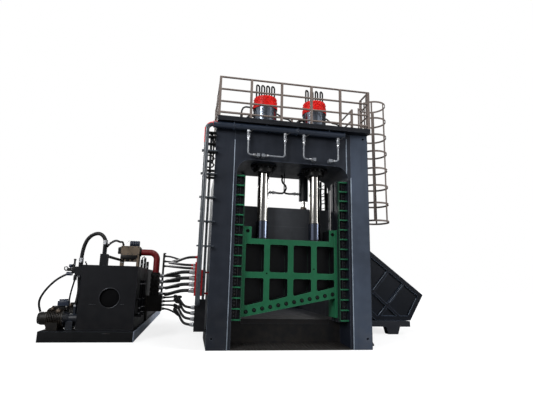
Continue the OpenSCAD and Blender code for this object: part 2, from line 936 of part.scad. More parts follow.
// Rod glands under the crosshead
module main_glands() {
  color(iron) for (side = [-1, 1]) translate([side * main_x, main_y, 0]) difference() {
    union() {
      translate([0, 0, gland_low]) cylinder(r = gland_r, h = window_top - gland_low);
      translate([0, 0, window_top - gland_flange_t]) cylinder(r = gland_flange_r, h = gland_flange_t);
      translate([0, 0, window_top - cut])
        cylinder(r = main_bore_r - shaft_gap, h = main_low + cut - window_top + gland_flange_t);
    }
    translate([0, 0, gland_low - cut])
      cylinder(r = main_rod_r + shaft_gap, h = main_low - gland_low + 2 * gland_flange_t);
  }
}

// Clamp cylinders with their side ports and the forked hose between them
module clamp_barrels() {
  port_end = clamp_x - clamp_barrel_r - clamp_port_l;
  color(slate_light) both_sides() difference() {
    union() {
      translate([clamp_x, clamp_y, clamp_barrel_low])
        cylinder(r = clamp_barrel_r, h = clamp_barrel_top - clamp_barrel_low);
      translate([clamp_x, clamp_y, window_top - clamp_flange_t])
        cylinder(r = clamp_flange_r, h = clamp_flange_t);
      rod([port_end, clamp_y, clamp_port_z], [clamp_x - clamp_bore_r, clamp_y, clamp_port_z], clamp_port_r);
    }
    translate([clamp_x, clamp_y, clamp_bore_low])
      cylinder(r = clamp_bore_r, h = clamp_bore_top - clamp_bore_low);
    translate([clamp_x, clamp_y, clamp_barrel_low - cut])
      cylinder(r = clamp_rod_r + shaft_gap, h = clamp_bore_low - clamp_barrel_low + 2 * cut);
  }
  color(rubber) {
    both_sides() {
      translate([clamp_hose_turn, clamp_y, clamp_port_z]) rotate([0, 90, 0])
        cylinder(r = clamp_hose_r, h = port_end - clamp_hose_turn);
      translate([0, clamp_y, clamp_port_z + clamp_hose_turn]) mirror([0, 0, 1])
        quarter_bend(clamp_hose_turn, clamp_hose_r);
    }
    translate([0, clamp_y, clamp_port_z + clamp_hose_turn])
      cylinder(r = clamp_hose_r, h = window_top - clamp_port_z - clamp_hose_turn);
  }
}

// Large header pipe along the front, hung under the deck
module header_pipe() {
  header_y = front_y - header_off;
  color(slate) {
    rod([-riser_x + riser_bend, header_y, header_z], [header_right, header_y, header_z], header_r);
    rod([header_right, header_y, header_z], [header_right + header_cap_t, header_y, header_z], header_cap_r);
    for (i = [0 : header_hangers - 1]) {
      x = -half_w + (i + 0.5) * (half_w + header_right) / header_hangers;
      block([x, header_y - header_r, header_z], [x + header_hanger_t, front_y, deck_z - fascia_h]);
    }
  }
}

// Valves and steel pipes from the header to the ports in the crosshead
module branch_pipes() {
  header_y = front_y - header_off;
  color(steel) for (i = [0 : len(branch_shares) - 1]) {
    x = branch_shares[i] * half_w;
    port_x = branch_port_shares[i] * half_w;
    way = port_x > x ? 1 : -1;
    low = header_z - header_r - branch_valve_h;
    rod([x, header_y, header_z - header_r - run_gap], [x, header_y, low], branch_valve_r);
    rod([x, header_y, low], [x, header_y, branch_port_z + branch_bend], branch_r);
    translate([x, header_y, branch_port_z + branch_bend]) mirror([0, 0, 1])
      rotate([0, 0, way > 0 ? 0 : 180]) quarter_bend(branch_bend, branch_r);
    rod([x + way * branch_bend, header_y, branch_port_z], [port_x, header_y, branch_port_z], branch_r);
    block([port_x - branch_port_w / 2, header_y - branch_port_w / 2, branch_port_z - branch_port_w / 2],
      [port_x + branch_port_w / 2, front_y, branch_port_z + branch_port_w / 2]);
  }
}

// Two upright pipes on the left column with their clamps
module riser_pipes() {
  header_y = front_y - header_off;
  black_y = front_y + black_riser_in;
  color(slate_light) {
    translate([-riser_x, header_y, riser_foot_z + riser_foot_bend])
      cylinder(r = riser_r, h = header_z - riser_bend - riser_foot_z - riser_foot_bend);
    translate([-riser_x, header_y, riser_foot_z + riser_foot_bend]) mirror([0, 0, 1]) rotate([0, 0, 90])
      quarter_bend(riser_foot_bend, riser_r);
    rod([-riser_x, header_y + riser_foot_bend, riser_foot_z], [-riser_x, lower_y, riser_foot_z], riser_r);
    translate([-riser_x, header_y, header_z - riser_bend]) quarter_bend(riser_bend, riser_r);
  }
  color(iron) {
    translate([-black_riser_x, black_y, lower_top]) cylinder(r = black_riser_r, h = black_riser_top - lower_top);
    for (i = [0 : riser_clamp_count - 1]) {
      z = riser_clamp_low + i * riser_clamp_pitch;
      block([-riser_x - riser_r - riser_clamp_out, header_y - riser_clamp_t, z],
        [-half_w + front_plate_t, front_y, z + riser_clamp_t]);
      block([-black_riser_x - black_riser_r - riser_clamp_t, front_y - riser_clamp_t, z],
        [-half_w, black_y + riser_clamp_t, z + riser_clamp_t]);
    }
  }
}

// Manifold block that takes the four large hoses and the three upper ones
module red_manifold() {
  left = -manifold_right - manifold_w;
  port_y = manifold_y + port_in;
  color(dark_red) {
    block([left, manifold_y, manifold_low], [left + manifold_ledge_w, manifold_y + manifold_d, manifold_top]);
    block([left + manifold_ledge_w - cut, manifold_y, manifold_low],
      [-manifold_right, manifold_y + manifold_d, manifold_ledge_z]);
  }
  color(slate) for (z = [manifold_low + manifold_bracket_t, manifold_ledge_z - 2 * manifold_bracket_t])
    block([-manifold_right, manifold_y, z], [-half_w, manifold_y + manifold_d, z + manifold_bracket_t]);
  color(steel) {
    for (i = [0 : hose_rows - 1]) {
      z = manifold_port_low + i * manifold_port_pitch;
      rod([left - ferrule_l, port_y, z], [left, port_y, z], ferrule_r);
    }
    for (z = [top_port_low, top_port_low + top_port_pitch])
      rod([left - small_ferrule_l, port_y, z], [left, port_y, z], small_hose_r);
    translate([left + manifold_ledge_w / 2, port_y, manifold_top - cut])
      cylinder(r = stub_r, h = stub_z - manifold_top + stub_r + cut);
    rod([left - stub_l, port_y, stub_z], [left + manifold_ledge_w / 2, port_y, stub_z], small_hose_r);
  }
}

// Black manifold under it, on a bracket from the column
module lower_manifold() {
  left = -lower_left;
  port_y = manifold_y + port_in;
  color(iron) {
    block([left, lower_y, lower_low], [left + lower_w, manifold_y + manifold_d, lower_top]);
    block([left, lower_y - lower_foot_t / 2, lower_foot_z],
      [-half_w, manifold_y + manifold_d + lower_foot_t / 2, lower_low]);
  }
  color(steel) for (i = [0 : hose_rows - 1]) {
    z = lower_port_low + i * lower_port_pitch;
    rod([left - small_ferrule_l, port_y, z], [left, port_y, z], small_ferrule_r);
  }
}

// Trough behind the gantry: floor, tall left wall, low right wall with its apron, ribs and base beams
module feed_trough() {
  floor_low = bed_h - trough_floor_t;
  wall_x = jamb_x;
  outer_x = wall_x + trough_wall_t;
  ribs = floor((trough_l - trough_rib_t) / trough_rib_pitch - 0.5);
  wall_top = bed_h + trough_wall_h;
  color(slate) {
    block([-outer_x, back_y, floor_low], [outer_x, trough_back, bed_h]);
    block([-outer_x, back_y, bed_h - cut], [-wall_x, trough_back, wall_top]);
    block([wall_x, back_y, bed_h - cut], [outer_x, trough_back, trough_apron_z]);
    translate([0, trough_back, 0]) rotate([90, 0, 0]) linear_extrude(height = trough_l)
      polygon([[wall_x, trough_apron_z - cut], [outer_x, trough_apron_z - cut],
        [trough_apron_x, trough_apron_top_z - trough_wall_t], [trough_apron_x, trough_apron_top_z]]);
    for (i = [0 : ribs]) {
      y = back_y + (i + 0.5) * trough_rib_pitch;
      block([-outer_x - trough_rib_w, y, 0], [-outer_x + cut, y + trough_rib_t, wall_top]);
      translate([0, y + trough_rib_t, 0]) rotate([90, 0, 0]) linear_extrude(height = trough_rib_t)
        polygon([[outer_x - cut, 0], [outer_x + trough_rib_w, 0], [outer_x + trough_rib_w, trough_apron_z],
          [trough_apron_x - trough_rib_t, trough_apron_top_z - trough_wall_t],
          [outer_x - cut, trough_apron_z - cut]]);
      block([-outer_x, y, 0], [outer_x, y + trough_base_w, floor_low + cut]);
    }
    difference() {
      block([-outer_x, trough_back, 0], [outer_x, trough_back + trough_end_t, bed_h + pusher_h + trough_base_w]);
      translate([0, trough_back - cut, push_z]) rotate([-90, 0, 0])
        cylinder(r = push_rod_r + push_flange_t, h = trough_end_t + 2 * cut);
    }
  }
}

// Long cylinder that drives the pusher
module feed_barrel() {
  start = trough_back + trough_end_t;
  color(slate_light) difference() {
    union() {
      translate([0, start, push_z]) rotate([-90, 0, 0]) cylinder(r = push_barrel_r, h = push_barrel_l);
      translate([0, start, push_z]) rotate([-90, 0, 0]) cylinder(r = push_flange_r, h = push_flange_t);
      translate([0, start + push_barrel_l - push_flange_t, push_z]) rotate([-90, 0, 0])
        cylinder(r = push_flange_r, h = push_flange_t);
    }
    translate([0, start - cut, push_z]) rotate([-90, 0, 0])
      cylinder(r = push_rod_r + shaft_gap, h = push_barrel_cap + 2 * cut);
    translate([0, start + push_barrel_cap, push_z]) rotate([-90, 0, 0])
      cylinder(r = push_bore_r, h = push_barrel_l - 2 * push_barrel_cap);
  }
}

// Floor beams and saddles under the feed cylinder
module feed_cradle() {
  start = trough_back + trough_end_t;
  pitch = (push_barrel_l - 2 * push_flange_t - saddle_t) / (saddle_count - 1);
  color(slate) {
    for (side = [-1, 1])
      block([side * cradle_half - cradle_beam_w / 2, start, 0],
        [side * cradle_half + cradle_beam_w / 2, start + push_barrel_l, cradle_beam_h]);
    for (i = [0 : saddle_count - 1]) translate([0, start + push_flange_t + i * pitch, 0]) {
      block([-cradle_half, 0, cradle_beam_h / 2], [cradle_half, saddle_t, cradle_beam_h]);
      difference() {
        block([-saddle_half, 0, cradle_beam_h], [saddle_half, saddle_t, push_z]);
        translate([0, -cut, push_z]) rotate([-90, 0, 0])
          cylinder(r = push_barrel_r + run_gap, h = saddle_t + 2 * cut);
      }
    }
  }
}

// Places along the tray's hinge line
tray_back = tray_front + tray_l;
hinge_pitch = (tray_l - 2 * hinge_in) / (tray_knuckles - 1);
function hinge_y(i) = tray_front + hinge_in + i * hinge_pitch;
lift_y = [tray_front - lift_off, tray_back + lift_off];

// Floor beams beside the trough, hinge posts with their pins, and the feet of the lift cylinders
module hopper_base() {
  post_y = tray_knuckle_l / 2 + tray_knuckle_gap;
  base_left = jamb_x + trough_wall_t + trough_rib_w;
  color(slate) {
    block([base_left, lift_y[0] - base_beam_d / 2, 0],
      [base_left + sill_w, lift_y[1] + base_beam_d / 2, base_beam_top]);
    for (x = [bed_rail_x, bed_rail_x + bed_rail_pitch])
      block([x, lift_y[0], base_beam_low], [x + bed_rail_w, lift_y[1], base_beam_top]);
    for (y = [lift_y[0] - base_beam_d / 2, lift_y[1] - base_beam_d / 2]) {
      block([base_left, y, base_beam_low], [base_right, y + base_beam_d, base_beam_top]);
      block([lift_foot_x - lift_plate_r - lift_plate_t, y, 0],
        [lift_foot_x + lift_plate_r + lift_plate_t, y + base_beam_d, base_beam_low + lift_plate_t]);
      translate([0, y + base_beam_d, 0]) rotate([90, 0, 0]) linear_extrude(height = base_beam_d)
        polygon([[base_foot_x, base_beam_low], [base_foot_x + base_foot_w, base_beam_low],
          [base_foot_x + (base_foot_w + base_foot_pad) / 2, 0],
          [base_foot_x + (base_foot_w - base_foot_pad) / 2, 0]]);
    }
    for (y = lift_y, side = [-1, 1])
      translate([lift_foot_x, y + side * (lift_eye_t / 2 + lift_plate_gap + lift_plate_t / 2) + lift_plate_t / 2, 0])
        rotate([90, 0, 0]) linear_extrude(height = lift_plate_t) difference() {
          union() {
            translate([-lift_plate_r, base_beam_low]) square([2 * lift_plate_r, lift_foot_z - base_beam_low]);
            translate([0, lift_foot_z]) circle(r = lift_eye_r);
          }
          translate([0, lift_foot_z]) circle(r = lift_pin_r);
        }
    for (i = [0 : tray_knuckles - 1], side = [-1, 1])
      translate([0, hinge_y(i) + side * (post_y + tray_knuckle_l / 4) + tray_knuckle_l / 4, 0])
        rotate([90, 0, 0]) linear_extrude(height = tray_knuckle_l / 2) difference() {
          union() {
            translate([hinge_x, hinge_z]) circle(r = tray_knuckle_r);
            translate([hinge_x - post_leg_w / 2, 0]) square([post_leg_w, hinge_z]);
          }
          translate([hinge_x, hinge_z]) circle(r = tray_pin_r);
        }
    for (i = [0 : tray_knuckles - 1])
      translate([0, hinge_y(i) + post_y + tray_knuckle_l / 2, 0]) rotate([90, 0, 0])
        linear_extrude(height = 2 * post_y + tray_knuckle_l)
          polygon([[base_left, 0], [hinge_x + post_leg_w / 2, 0], [hinge_x + post_leg_w / 2, base_beam_top],
            [base_left, base_beam_top]]);
  }
  color(steel) {
    for (i = [0 : tray_knuckles - 1])
      rod([hinge_x, hinge_y(i) - post_y - tray_knuckle_l / 2, hinge_z],
        [hinge_x, hinge_y(i) + post_y + tray_knuckle_l / 2, hinge_z], tray_pin_r);
    for (y = lift_y)
      rod([lift_foot_x, y - lift_eye_t / 2 - lift_plate_gap - lift_plate_t, lift_foot_z],
        [lift_foot_x, y + lift_eye_t / 2 + lift_plate_gap + lift_plate_t, lift_foot_z], lift_pin_r);
  }
}

// Height of the knife edge at a place along the carriage
function edge_z(x) = edge_low + edge_rise * (x + carriage_half) / (2 * carriage_half);

// Outline of a pocket with round corners; its lower edge may be inclined
function outward(p, q) = [q[1] - p[1], p[0] - q[0]] / norm(q - p);

module pocket(x0, x1, low_left, low_right, top) {
  c = [[x0 + pocket_r, low_left + pocket_r], [x1 - pocket_r, low_right + pocket_r],
    [x1 - pocket_r, top - pocket_r], [x0 + pocket_r, top - pocket_r]];
  polygon([for (i = [0 : 3]) each [c[i] + pocket_r * outward(c[(i + 3) % 4], c[i]),
    c[i] + pocket_r * outward(c[i], c[(i + 1) % 4])]]);
  for (p = c) translate(p) circle(r = pocket_r);
}

// The knife carriage: a thick welded plate with two rows of pockets, an inclined lower edge and two ears
module knife_carriage() {
  body_half = carriage_half - shoe_t;
  ear_half_in = body_half - ear_w;
  pocket_w = (2 * body_half + 2 * shoe_t - 2 * side_rim - 3 * pocket_rib) / 4;
  mid_top = mid_rib_z + mid_rib_h / 2;
  mid_low = mid_rib_z - mid_rib_h / 2;
  color(green) difference() {
    translate([0, knife_y, 0]) rotate([90, 0, 0]) linear_extrude(height = carriage_d)
      polygon([[-body_half, edge_z(-body_half)], [body_half, edge_z(body_half)], [body_half, ear_top],
        [ear_half_in, ear_top], [ear_half_in, carriage_top], [-ear_half_in, carriage_top],
        [-ear_half_in, ear_top], [-body_half, ear_top]]);
    for (i = [0 : 3]) {
      x0 = -carriage_half + side_rim + i * (pocket_w + pocket_rib);
      x1 = x0 + pocket_w;
      translate([0, carriage_y + pocket_d, 0]) rotate([90, 0, 0]) linear_extrude(height = pocket_d + cut) {
        pocket(x0, x1, mid_top, mid_top, carriage_top - top_rim);
        pocket(x0, x1, edge_z(x0) + edge_band, edge_z(x1) + edge_band, mid_low);
      }
    }
    for (side = [-1, 1]) {
      translate([side * (body_half - ear_hole_in), carriage_y - cut, ear_top - ear_hole_down])
        rotate([-90, 0, 0]) cylinder(r = ear_hole_r, h = carriage_d + 2 * cut);
      translate([side * main_x, main_y, carriage_top - rod_flange_t])
        cylinder(r = rod_flange_r, h = rod_flange_t + cut);
    }
    blade_seat(blade_end_gap);
  }
  color(iron) for (i = [0 : blade_bolts - 1]) {
    x = -carriage_half + bolt_end_in + i * 2 * (carriage_half - bolt_end_in) / (blade_bolts - 1);
    translate([x, carriage_y, edge_z(x) + bolt_up]) rotate([90, 0, 0])
      cylinder(r = bolt_head_r, h = bolt_head_h, $fn = 6);
  }
}

// Space of the moving knife in the carriage's rear lower edge
module blade_seat(gap) {
  edge_angle = atan(edge_rise / (2 * carriage_half));
  translate([0, knife_y - blade_t, edge_z(0)]) rotate([0, -edge_angle, 0])
    block([-blade_half - gap, 0, -blade_h], [blade_half + gap, blade_t + cut, blade_h]);
}

module moving_blade() {
  edge_angle = atan(edge_rise / (2 * carriage_half));
  color(steel) translate([0, knife_y - blade_t, edge_z(0)]) rotate([0, -edge_angle, 0])
    block([-blade_half, 0, 0], [blade_half, blade_t, blade_h]);
}

// Side shoes with the tongues that run in the gib blocks
module carriage_shoes() {
  color(green) for (side = [-1, 1]) {
    low = edge_low + rib_t / 2;
    mirror([side < 0 ? 1 : 0, 0, 0]) {
      block([carriage_half - shoe_t, carriage_y - shoe_proud, low], [carriage_half, knife_y, ear_top]);
      block([carriage_half - cut, carriage_y + tongue_y0, low],
        [carriage_half + tongue_w, carriage_y + tongue_y1, ear_top]);
    }
  }
}

// Piston rods with their pistons, sleeves and flanges
module main_rods() {
  color(steel) for (side = [-1, 1]) translate([side * main_x, main_y, 0]) {
    translate([0, 0, carriage_top - rod_flange_t]) cylinder(r = rod_flange_r - rod_flange_gap, h = rod_flange_t);
    translate([0, 0, carriage_top]) cylinder(r = sleeve_r, h = sleeve_top - carriage_top);
    translate([0, 0, sleeve_top]) cylinder(r = sleeve_ring_r, h = sleeve_ring_t);
    translate([0, 0, sleeve_top]) cylinder(r = main_rod_r, h = piston_low - sleeve_top + piston_h);
    translate([0, 0, piston_low]) cylinder(r = main_bore_r - shaft_gap, h = piston_h);
  }
}

// Clamp head with a stepped front and guide shoes low on its sides
module clamp_head() {
  low_y = knife_y + clamp_front;
  high_y = low_y + clamp_depth;
  color(slate_light) {
    block([-clamp_half, low_y, clamp_bottom], [clamp_half, high_y, clamp_top]);
    block([-clamp_half, low_y - clamp_lip, clamp_bottom], [clamp_half, low_y + cut, clamp_top - clamp_lip_down]);
    both_sides() block([clamp_half - cut, low_y + clamp_shoe_in, clamp_bottom],
      [jamb_x - wear_t - run_gap, high_y - clamp_shoe_in, clamp_top - clamp_shoe_down]);
  }
}

module clamp_rods() {
  color(steel) for (side = [-1, 1]) translate([side * clamp_x, clamp_y, 0]) {
    translate([0, 0, clamp_top]) cylinder(r = clamp_rod_r, h = clamp_piston_low - clamp_top + clamp_piston_h);
    translate([0, 0, clamp_piston_low]) cylinder(r = clamp_bore_r - shaft_gap, h = clamp_piston_h);
    translate([0, 0, clamp_top]) cylinder(r = clamp_rod_r * 1.5, h = rod_flange_t);
  }
}

// Pusher: a box with a closed face, open at the back between its ribs
module feed_pusher() {
  face_y = trough_back - pusher_back - pusher_d;
  half = jamb_x - pusher_gap;
  low = bed_h + run_gap;
  color(slate_light) difference() {
    block([-half, face_y, low], [half, face_y + pusher_d, low + pusher_h]);
    for (i = [0 : 2]) {
      bay = (2 * half - 4 * pusher_rib_t) / 3;
      x = -half + pusher_rib_t + i * (bay + pusher_rib_t);
      if (i != 1)
        block([x, face_y + 2 * pusher_rib_t, low + pusher_rib_t],
          [x + bay, face_y + pusher_d + cut, low + pusher_h - pusher_rib_t]);
    }
  }
}

module feed_rod() {
  start = trough_back - pusher_back;
  piston = trough_back + trough_end_t + push_barrel_l - push_barrel_cap - push_piston_l - push_flange_t;
  color(steel) {
    rod([0, start, push_z], [0, piston + push_piston_l, push_z], push_rod_r);
    rod([0, piston, push_z], [0, piston + push_piston_l, push_z], push_bore_r - shaft_gap);
  }
}

// The tray is drawn along its own floor: s from the hinge along the floor, t square to it
module in_tray_frame(y) {
  translate([hinge_x, y, hinge_z]) rotate([0, tray_slope, 0]) rotate([90, 0, 0]) children();
}

// Outline of a tray end
function tray_outline() = [[0, tray_inner_t0], [0, tray_h - tray_rim_drop], [tray_rim, tray_h],
  [tray_corner_s, tray_corner_t], [tray_floor_l, 0], [tray_start, 0]];

module tray_floor() {
  length = tray_l - 2 * tray_end_t;
  lip_s = [tray_rim, tray_corner_s];
  color(slate_light) {
    in_tray_frame(tray_back - tray_end_t) linear_extrude(height = length) {
      polygon([[tray_start, 0], [tray_floor_l, 0], [tray_corner_s, tray_corner_t], [tray_rim, tray_h],
        [tray_rim - tray_floor_t, tray_h],
        [tray_corner_s - 1.15 * tray_floor_t, tray_corner_t + tray_floor_t / 3],
        [tray_floor_l - tray_floor_t / 3, tray_floor_t], [tray_start, tray_floor_t]]);
    }
    for (i = [0 : tray_knuckles - 1])
      in_tray_frame(hinge_y(i) + tray_knuckle_l / 2) linear_extrude(height = tray_knuckle_l) difference() {
        union() {
          circle(r = tray_knuckle_r);
          polygon([[0, -tray_knuckle_r], [tray_start + tray_knuckle_r, -tray_knuckle_r / 2],
            [tray_start + tray_knuckle_r, cut], [tray_start, tray_floor_t / 2], [0, tray_knuckle_r]]);
        }
        circle(r = tray_pin_r + shaft_gap);
      }
  }
}

// Ribbed ends of the tray, with the lugs of the lift cylinders
module tray_end_plate() {
  s_eye = (lift_eye_x - hinge_x) * cos(tray_slope) - (lift_eye_z - hinge_z) * sin(tray_slope);
  t_eye = (lift_eye_x - hinge_x) * sin(tray_slope) + (lift_eye_z - hinge_z) * cos(tray_slope);
  translate([s_eye, t_eye, tray_end_t - tray_rib_t])
    cylinder(r = lift_boss_r, h = tray_rib_t + lift_off - lift_eye_t / 2 - lift_boss_gap);
  difference() {
    linear_extrude(height = tray_end_t) polygon(tray_outline());
    translate([0, 0, tray_end_t - tray_rib_t]) linear_extrude(height = tray_rib_t + cut)
      difference() {
        offset(delta = -tray_frame_w) polygon(tray_outline());
        for (share = tray_rib_shares)
          translate([tray_rim * share, -cut]) square([tray_rib_w, tray_h]);
        translate([0, tray_h * tray_mid_share]) square([tray_corner_s, tray_rib_w]);
      }
  }
}

module tray_ends() {
  color(slate_light) {
    in_tray_frame(tray_front + tray_end_t) tray_end_plate();
    in_tray_frame(tray_back - tray_end_t) mirror([0, 0, 1]) tray_end_plate();
  }
}

// Lift cylinders at the two ends of the tray
lift_length = norm([lift_eye_x - lift_foot_x, lift_eye_z - lift_foot_z]);
lift_angle = atan2(lift_eye_x - lift_foot_x, lift_eye_z - lift_foot_z);

module lift_barrels() {
  color(iron) for (y = lift_y) translate([lift_foot_x, y, lift_foot_z]) rotate([0, lift_angle, 0]) difference() {
    union() {
      rotate([90, 0, 0]) translate([0, 0, -lift_eye_t / 2]) cylinder(r = lift_eye_r, h = lift_eye_t);
      cylinder(r = lift_neck_r, h = lift_neck_l + cut);
      translate([0, 0, lift_neck_l]) cylinder(r = lift_barrel_r, h = lift_barrel_l - lift_neck_l);
    }
    rotate([90, 0, 0]) translate([0, 0, -lift_eye_t]) cylinder(r = lift_pin_r + shaft_gap, h = 2 * lift_eye_t);
    translate([0, 0, lift_bore_start])
      cylinder(r = lift_bore_r, h = lift_barrel_l - lift_bore_start - lift_piston_l);
    translate([0, 0, lift_bore_start]) cylinder(r = lift_rod_r + shaft_gap, h = lift_barrel_l);
  }
}

module lift_rods() {
  piston = lift_bore_start + lift_piston_l / 2;
  color(steel) for (y = lift_y) translate([lift_foot_x, y, lift_foot_z]) rotate([0, lift_angle, 0]) {
    translate([0, 0, piston]) cylinder(r = lift_rod_r, h = lift_length - piston);
    translate([0, 0, piston]) cylinder(r = lift_bore_r - shaft_gap, h = lift_piston_l);
    translate([0, 0, lift_length]) rotate([90, 0, 0]) translate([0, 0, -lift_eye_t / 2])
      cylinder(r = lift_eye_r, h = lift_eye_t);
  }
}

// Skid of the power station
module station_skid() {
  left = skid_right - skid_w;
  pitch = (skid_l - skid_beam_w) / (skid_cross - 1);
  color(slate) {
    for (x = [left, skid_right - skid_beam_w])
      block([x, skid_y, 0], [x + skid_beam_w, skid_y + skid_l, skid_h - skid_deck_t]);
    for (i = [0 : skid_cross - 1])
      block([left, skid_y + i * pitch, 0], [skid_right, skid_y + i * pitch + skid_beam_w, skid_h - skid_deck_t]);
    block([left, skid_y, skid_h - skid_deck_t - cut], [skid_right, skid_y + skid_l, skid_h]);
  }
}

// Oil tank with stiffening ribs on its sides and a manhole in its front
module oil_tank() {
  right = skid_right - tank_right_in;
  left = right - tank_w;
  low_y = skid_y + tank_set;
  manhole_x = (left + right) / 2 + manhole_off;
  color(iron) {
    difference() {
      block([left, low_y, skid_h], [right, low_y + tank_l, skid_h + tank_h]);
      translate([manhole_x, low_y - cut, manhole_z]) rotate([-90, 0, 0])
        cylinder(r = manhole_r, h = manhole_in + cut);
    }
    translate([manhole_x, low_y, manhole_z]) rotate([90, 0, 0]) difference() {
      cylinder(r = manhole_r + manhole_ring, h = manhole_ring_t);
      translate([0, 0, -cut]) cylinder(r = manhole_r, h = manhole_ring_t + 2 * cut);
    }
  }
}

// One motor lying across the skid, its fan cowl to the left
module motor(y) {
  body_x = motor_left + motor_cowl_l;
  translate([0, y, motor_z]) {
    translate([motor_left, 0, 0]) rotate([0, 90, 0])
      rotate_extrude() polygon([[0, 0], [motor_cowl_end_r, 0], [motor_cowl_r, motor_cowl_l / 3],
        [motor_cowl_r, motor_cowl_l + cut], [0, motor_cowl_l + cut]]);
    translate([body_x, 0, 0]) rotate([0, 90, 0]) cylinder(r = motor_r - motor_fin_t * 2, h = motor_body_l);
    for (i = [0 : motor_fins - 1])
      translate([body_x + i * (motor_body_l - motor_fin_t) / (motor_fins - 1), 0, 0]) rotate([0, 90, 0])
        cylinder(r = motor_r - motor_fin_t, h = motor_fin_t);
    translate([body_x + motor_body_l, 0, 0]) rotate([0, 90, 0])
      cylinder(r = motor_flange_r - motor_fin_t, h = motor_flange_t);
    for (side = [-1, 1])
      block([body_x + motor_foot_w / 2, side * motor_foot_half - motor_foot_w / 2, skid_h - motor_z],
        [body_x + motor_body_l - motor_foot_w / 2, side * motor_foot_half + motor_foot_w / 2, -motor_r / 3]);
    block([body_x + motor_body_l / 2 - motor_box / 2, -motor_box / 2, motor_r / 2],
      [body_x + motor_body_l / 2 + motor_box / 2, motor_box / 2, motor_r + motor_box_h / 2]);
  }
}

module pump_motors() {
  color(iron) for (i = [0 : pump_sets - 1]) motor(motor_y + i * motor_pitch);
}

// Bell housings and pumps between the motors and the tank
module pumps() {
  bell_x = motor_left + motor_cowl_l + motor_body_l + motor_flange_t;
  color(blue_paint) for (i = [0 : pump_sets - 1]) translate([bell_x, motor_y + i * motor_pitch, motor_z]) {
    rotate([0, 90, 0]) rotate_extrude() polygon([[0, 0], [bell_r, 0], [pump_r, bell_l], [0, bell_l]]);
    translate([bell_l - cut, 0, 0]) rotate([0, 90, 0]) cylinder(r = pump_r, h = pump_l + cut);
    translate([bell_l + pump_l / 2, 0, 0]) cylinder(r = pump_port_r, h = pump_port_h);
    block([bell_l / 2, -pump_r, skid_h - motor_z], [bell_l + pump_l / 2, pump_r, -pump_r / 2]);
  }
}

// Main valve block on legs above the tank, with solenoid coils and knobs
module valve_block() {
  right = block_left + block_w;
  tank_top = skid_h + tank_h;
  color(tan_paint) block([block_left, block_y, block_low], [right, block_y + block_d, block_low + block_h]);
  color(iron) {
    for (x = [block_left, right - block_leg], y = [block_y, block_y + block_d - block_leg])
      block([x, y, tank_top], [x + block_leg, y + block_leg, block_low]);
    block([block_left + block_leg, block_y + block_leg / 2, block_low - block_leg * 3],
      [right - block_w / 5, block_y + block_d - block_leg / 2, block_low]);
    for (z = [block_low + block_h / 3, block_low + 2 * block_h / 3])
      rod([block_left - knob_l, block_y + block_d / 2, z], [block_left, block_y + block_d / 2, z],
        knob_r * 0.75);
  }
  color(blue_paint) for (i = [0 : solenoids - 1])
    translate([right - block_w * 0.5 + i * block_w * 0.13, block_y + block_d / 3, block_low + block_h]) {
      cylinder(r = solenoid_r, h = 2 * solenoid_h);
    }
}

// Stacked valve sections beside the tank, with the ports of the hoses
module valve_stack() {
  right = stack_left + stack_w;
  base_right_x = stack_base_left + stack_base_w;
  port_y = stack_y + stack_port_in;
  color(iron) {
    for (i = [0 : stack_slabs - 1]) {
      z = stack_low + i * (stack_slab + stack_gap);
      block([stack_left, stack_y, z], [right, stack_y + stack_d, z + stack_slab]);
      if (i > 0)
        block([stack_left + stack_gap_in, stack_y + stack_gap_in, z - stack_gap - cut],
          [right - stack_gap_in, stack_y + stack_d - stack_gap_in, z + cut]);
    }
    block([stack_base_left, stack_y, stack_base_low], [base_right_x, stack_y + stack_d, stack_low + cut]);
    block([stack_base_left, stack_y, skid_h], [skid_right, stack_y + stack_d, stack_base_low + cut]);
    translate([stack_riser_x, stack_y + stack_riser_in, stack_low])
      cylinder(r = stack_riser_r, h = stack_riser_top - stack_low);
  }
  color(steel) {
    for (i = [0 : hose_rows - 1]) {
      z = stack_port_low + i * stack_port_pitch;
      low = stack_low_port + i * stack_low_pitch;
      rod([right - cut, port_y, z], [right + ferrule_l, port_y, z], ferrule_r);
      rod([base_right_x - cut, port_y, low], [base_right_x + small_ferrule_l, port_y, low], small_ferrule_r);
    }
    for (p = [route_a[0], route_b[0], route_c[0]])
      rod([stack_riser_x, stack_y + stack_riser_in, p[2]], [p[0], stack_y + stack_riser_in, p[2]], stub_r);
  }
}

// Large red return pipe from the valve block down to the stack
module return_pipe() {
  right = block_left + block_w;
  pipe_x = stack_left + stack_w / 2;
  pipe_y = stack_y + stack_port_in;
  stack_top = stack_low + stack_slabs * (stack_slab + stack_gap) - stack_gap;
  color(dark_red) {
    rod([right, pipe_y, red_pipe_z], [pipe_x - red_pipe_bend, pipe_y, red_pipe_z], red_pipe_r);
    translate([pipe_x, pipe_y, red_pipe_z - red_pipe_bend]) rotate([0, 0, 180])
      quarter_bend(red_pipe_bend, red_pipe_r);
    rod([pipe_x, pipe_y, stack_top + red_flange_t], [pipe_x, pipe_y, red_pipe_z - red_pipe_bend], red_pipe_r);
    rod([pipe_x, pipe_y, stack_top], [pipe_x, pipe_y, stack_top + red_flange_t], red_flange_r);
  }
}

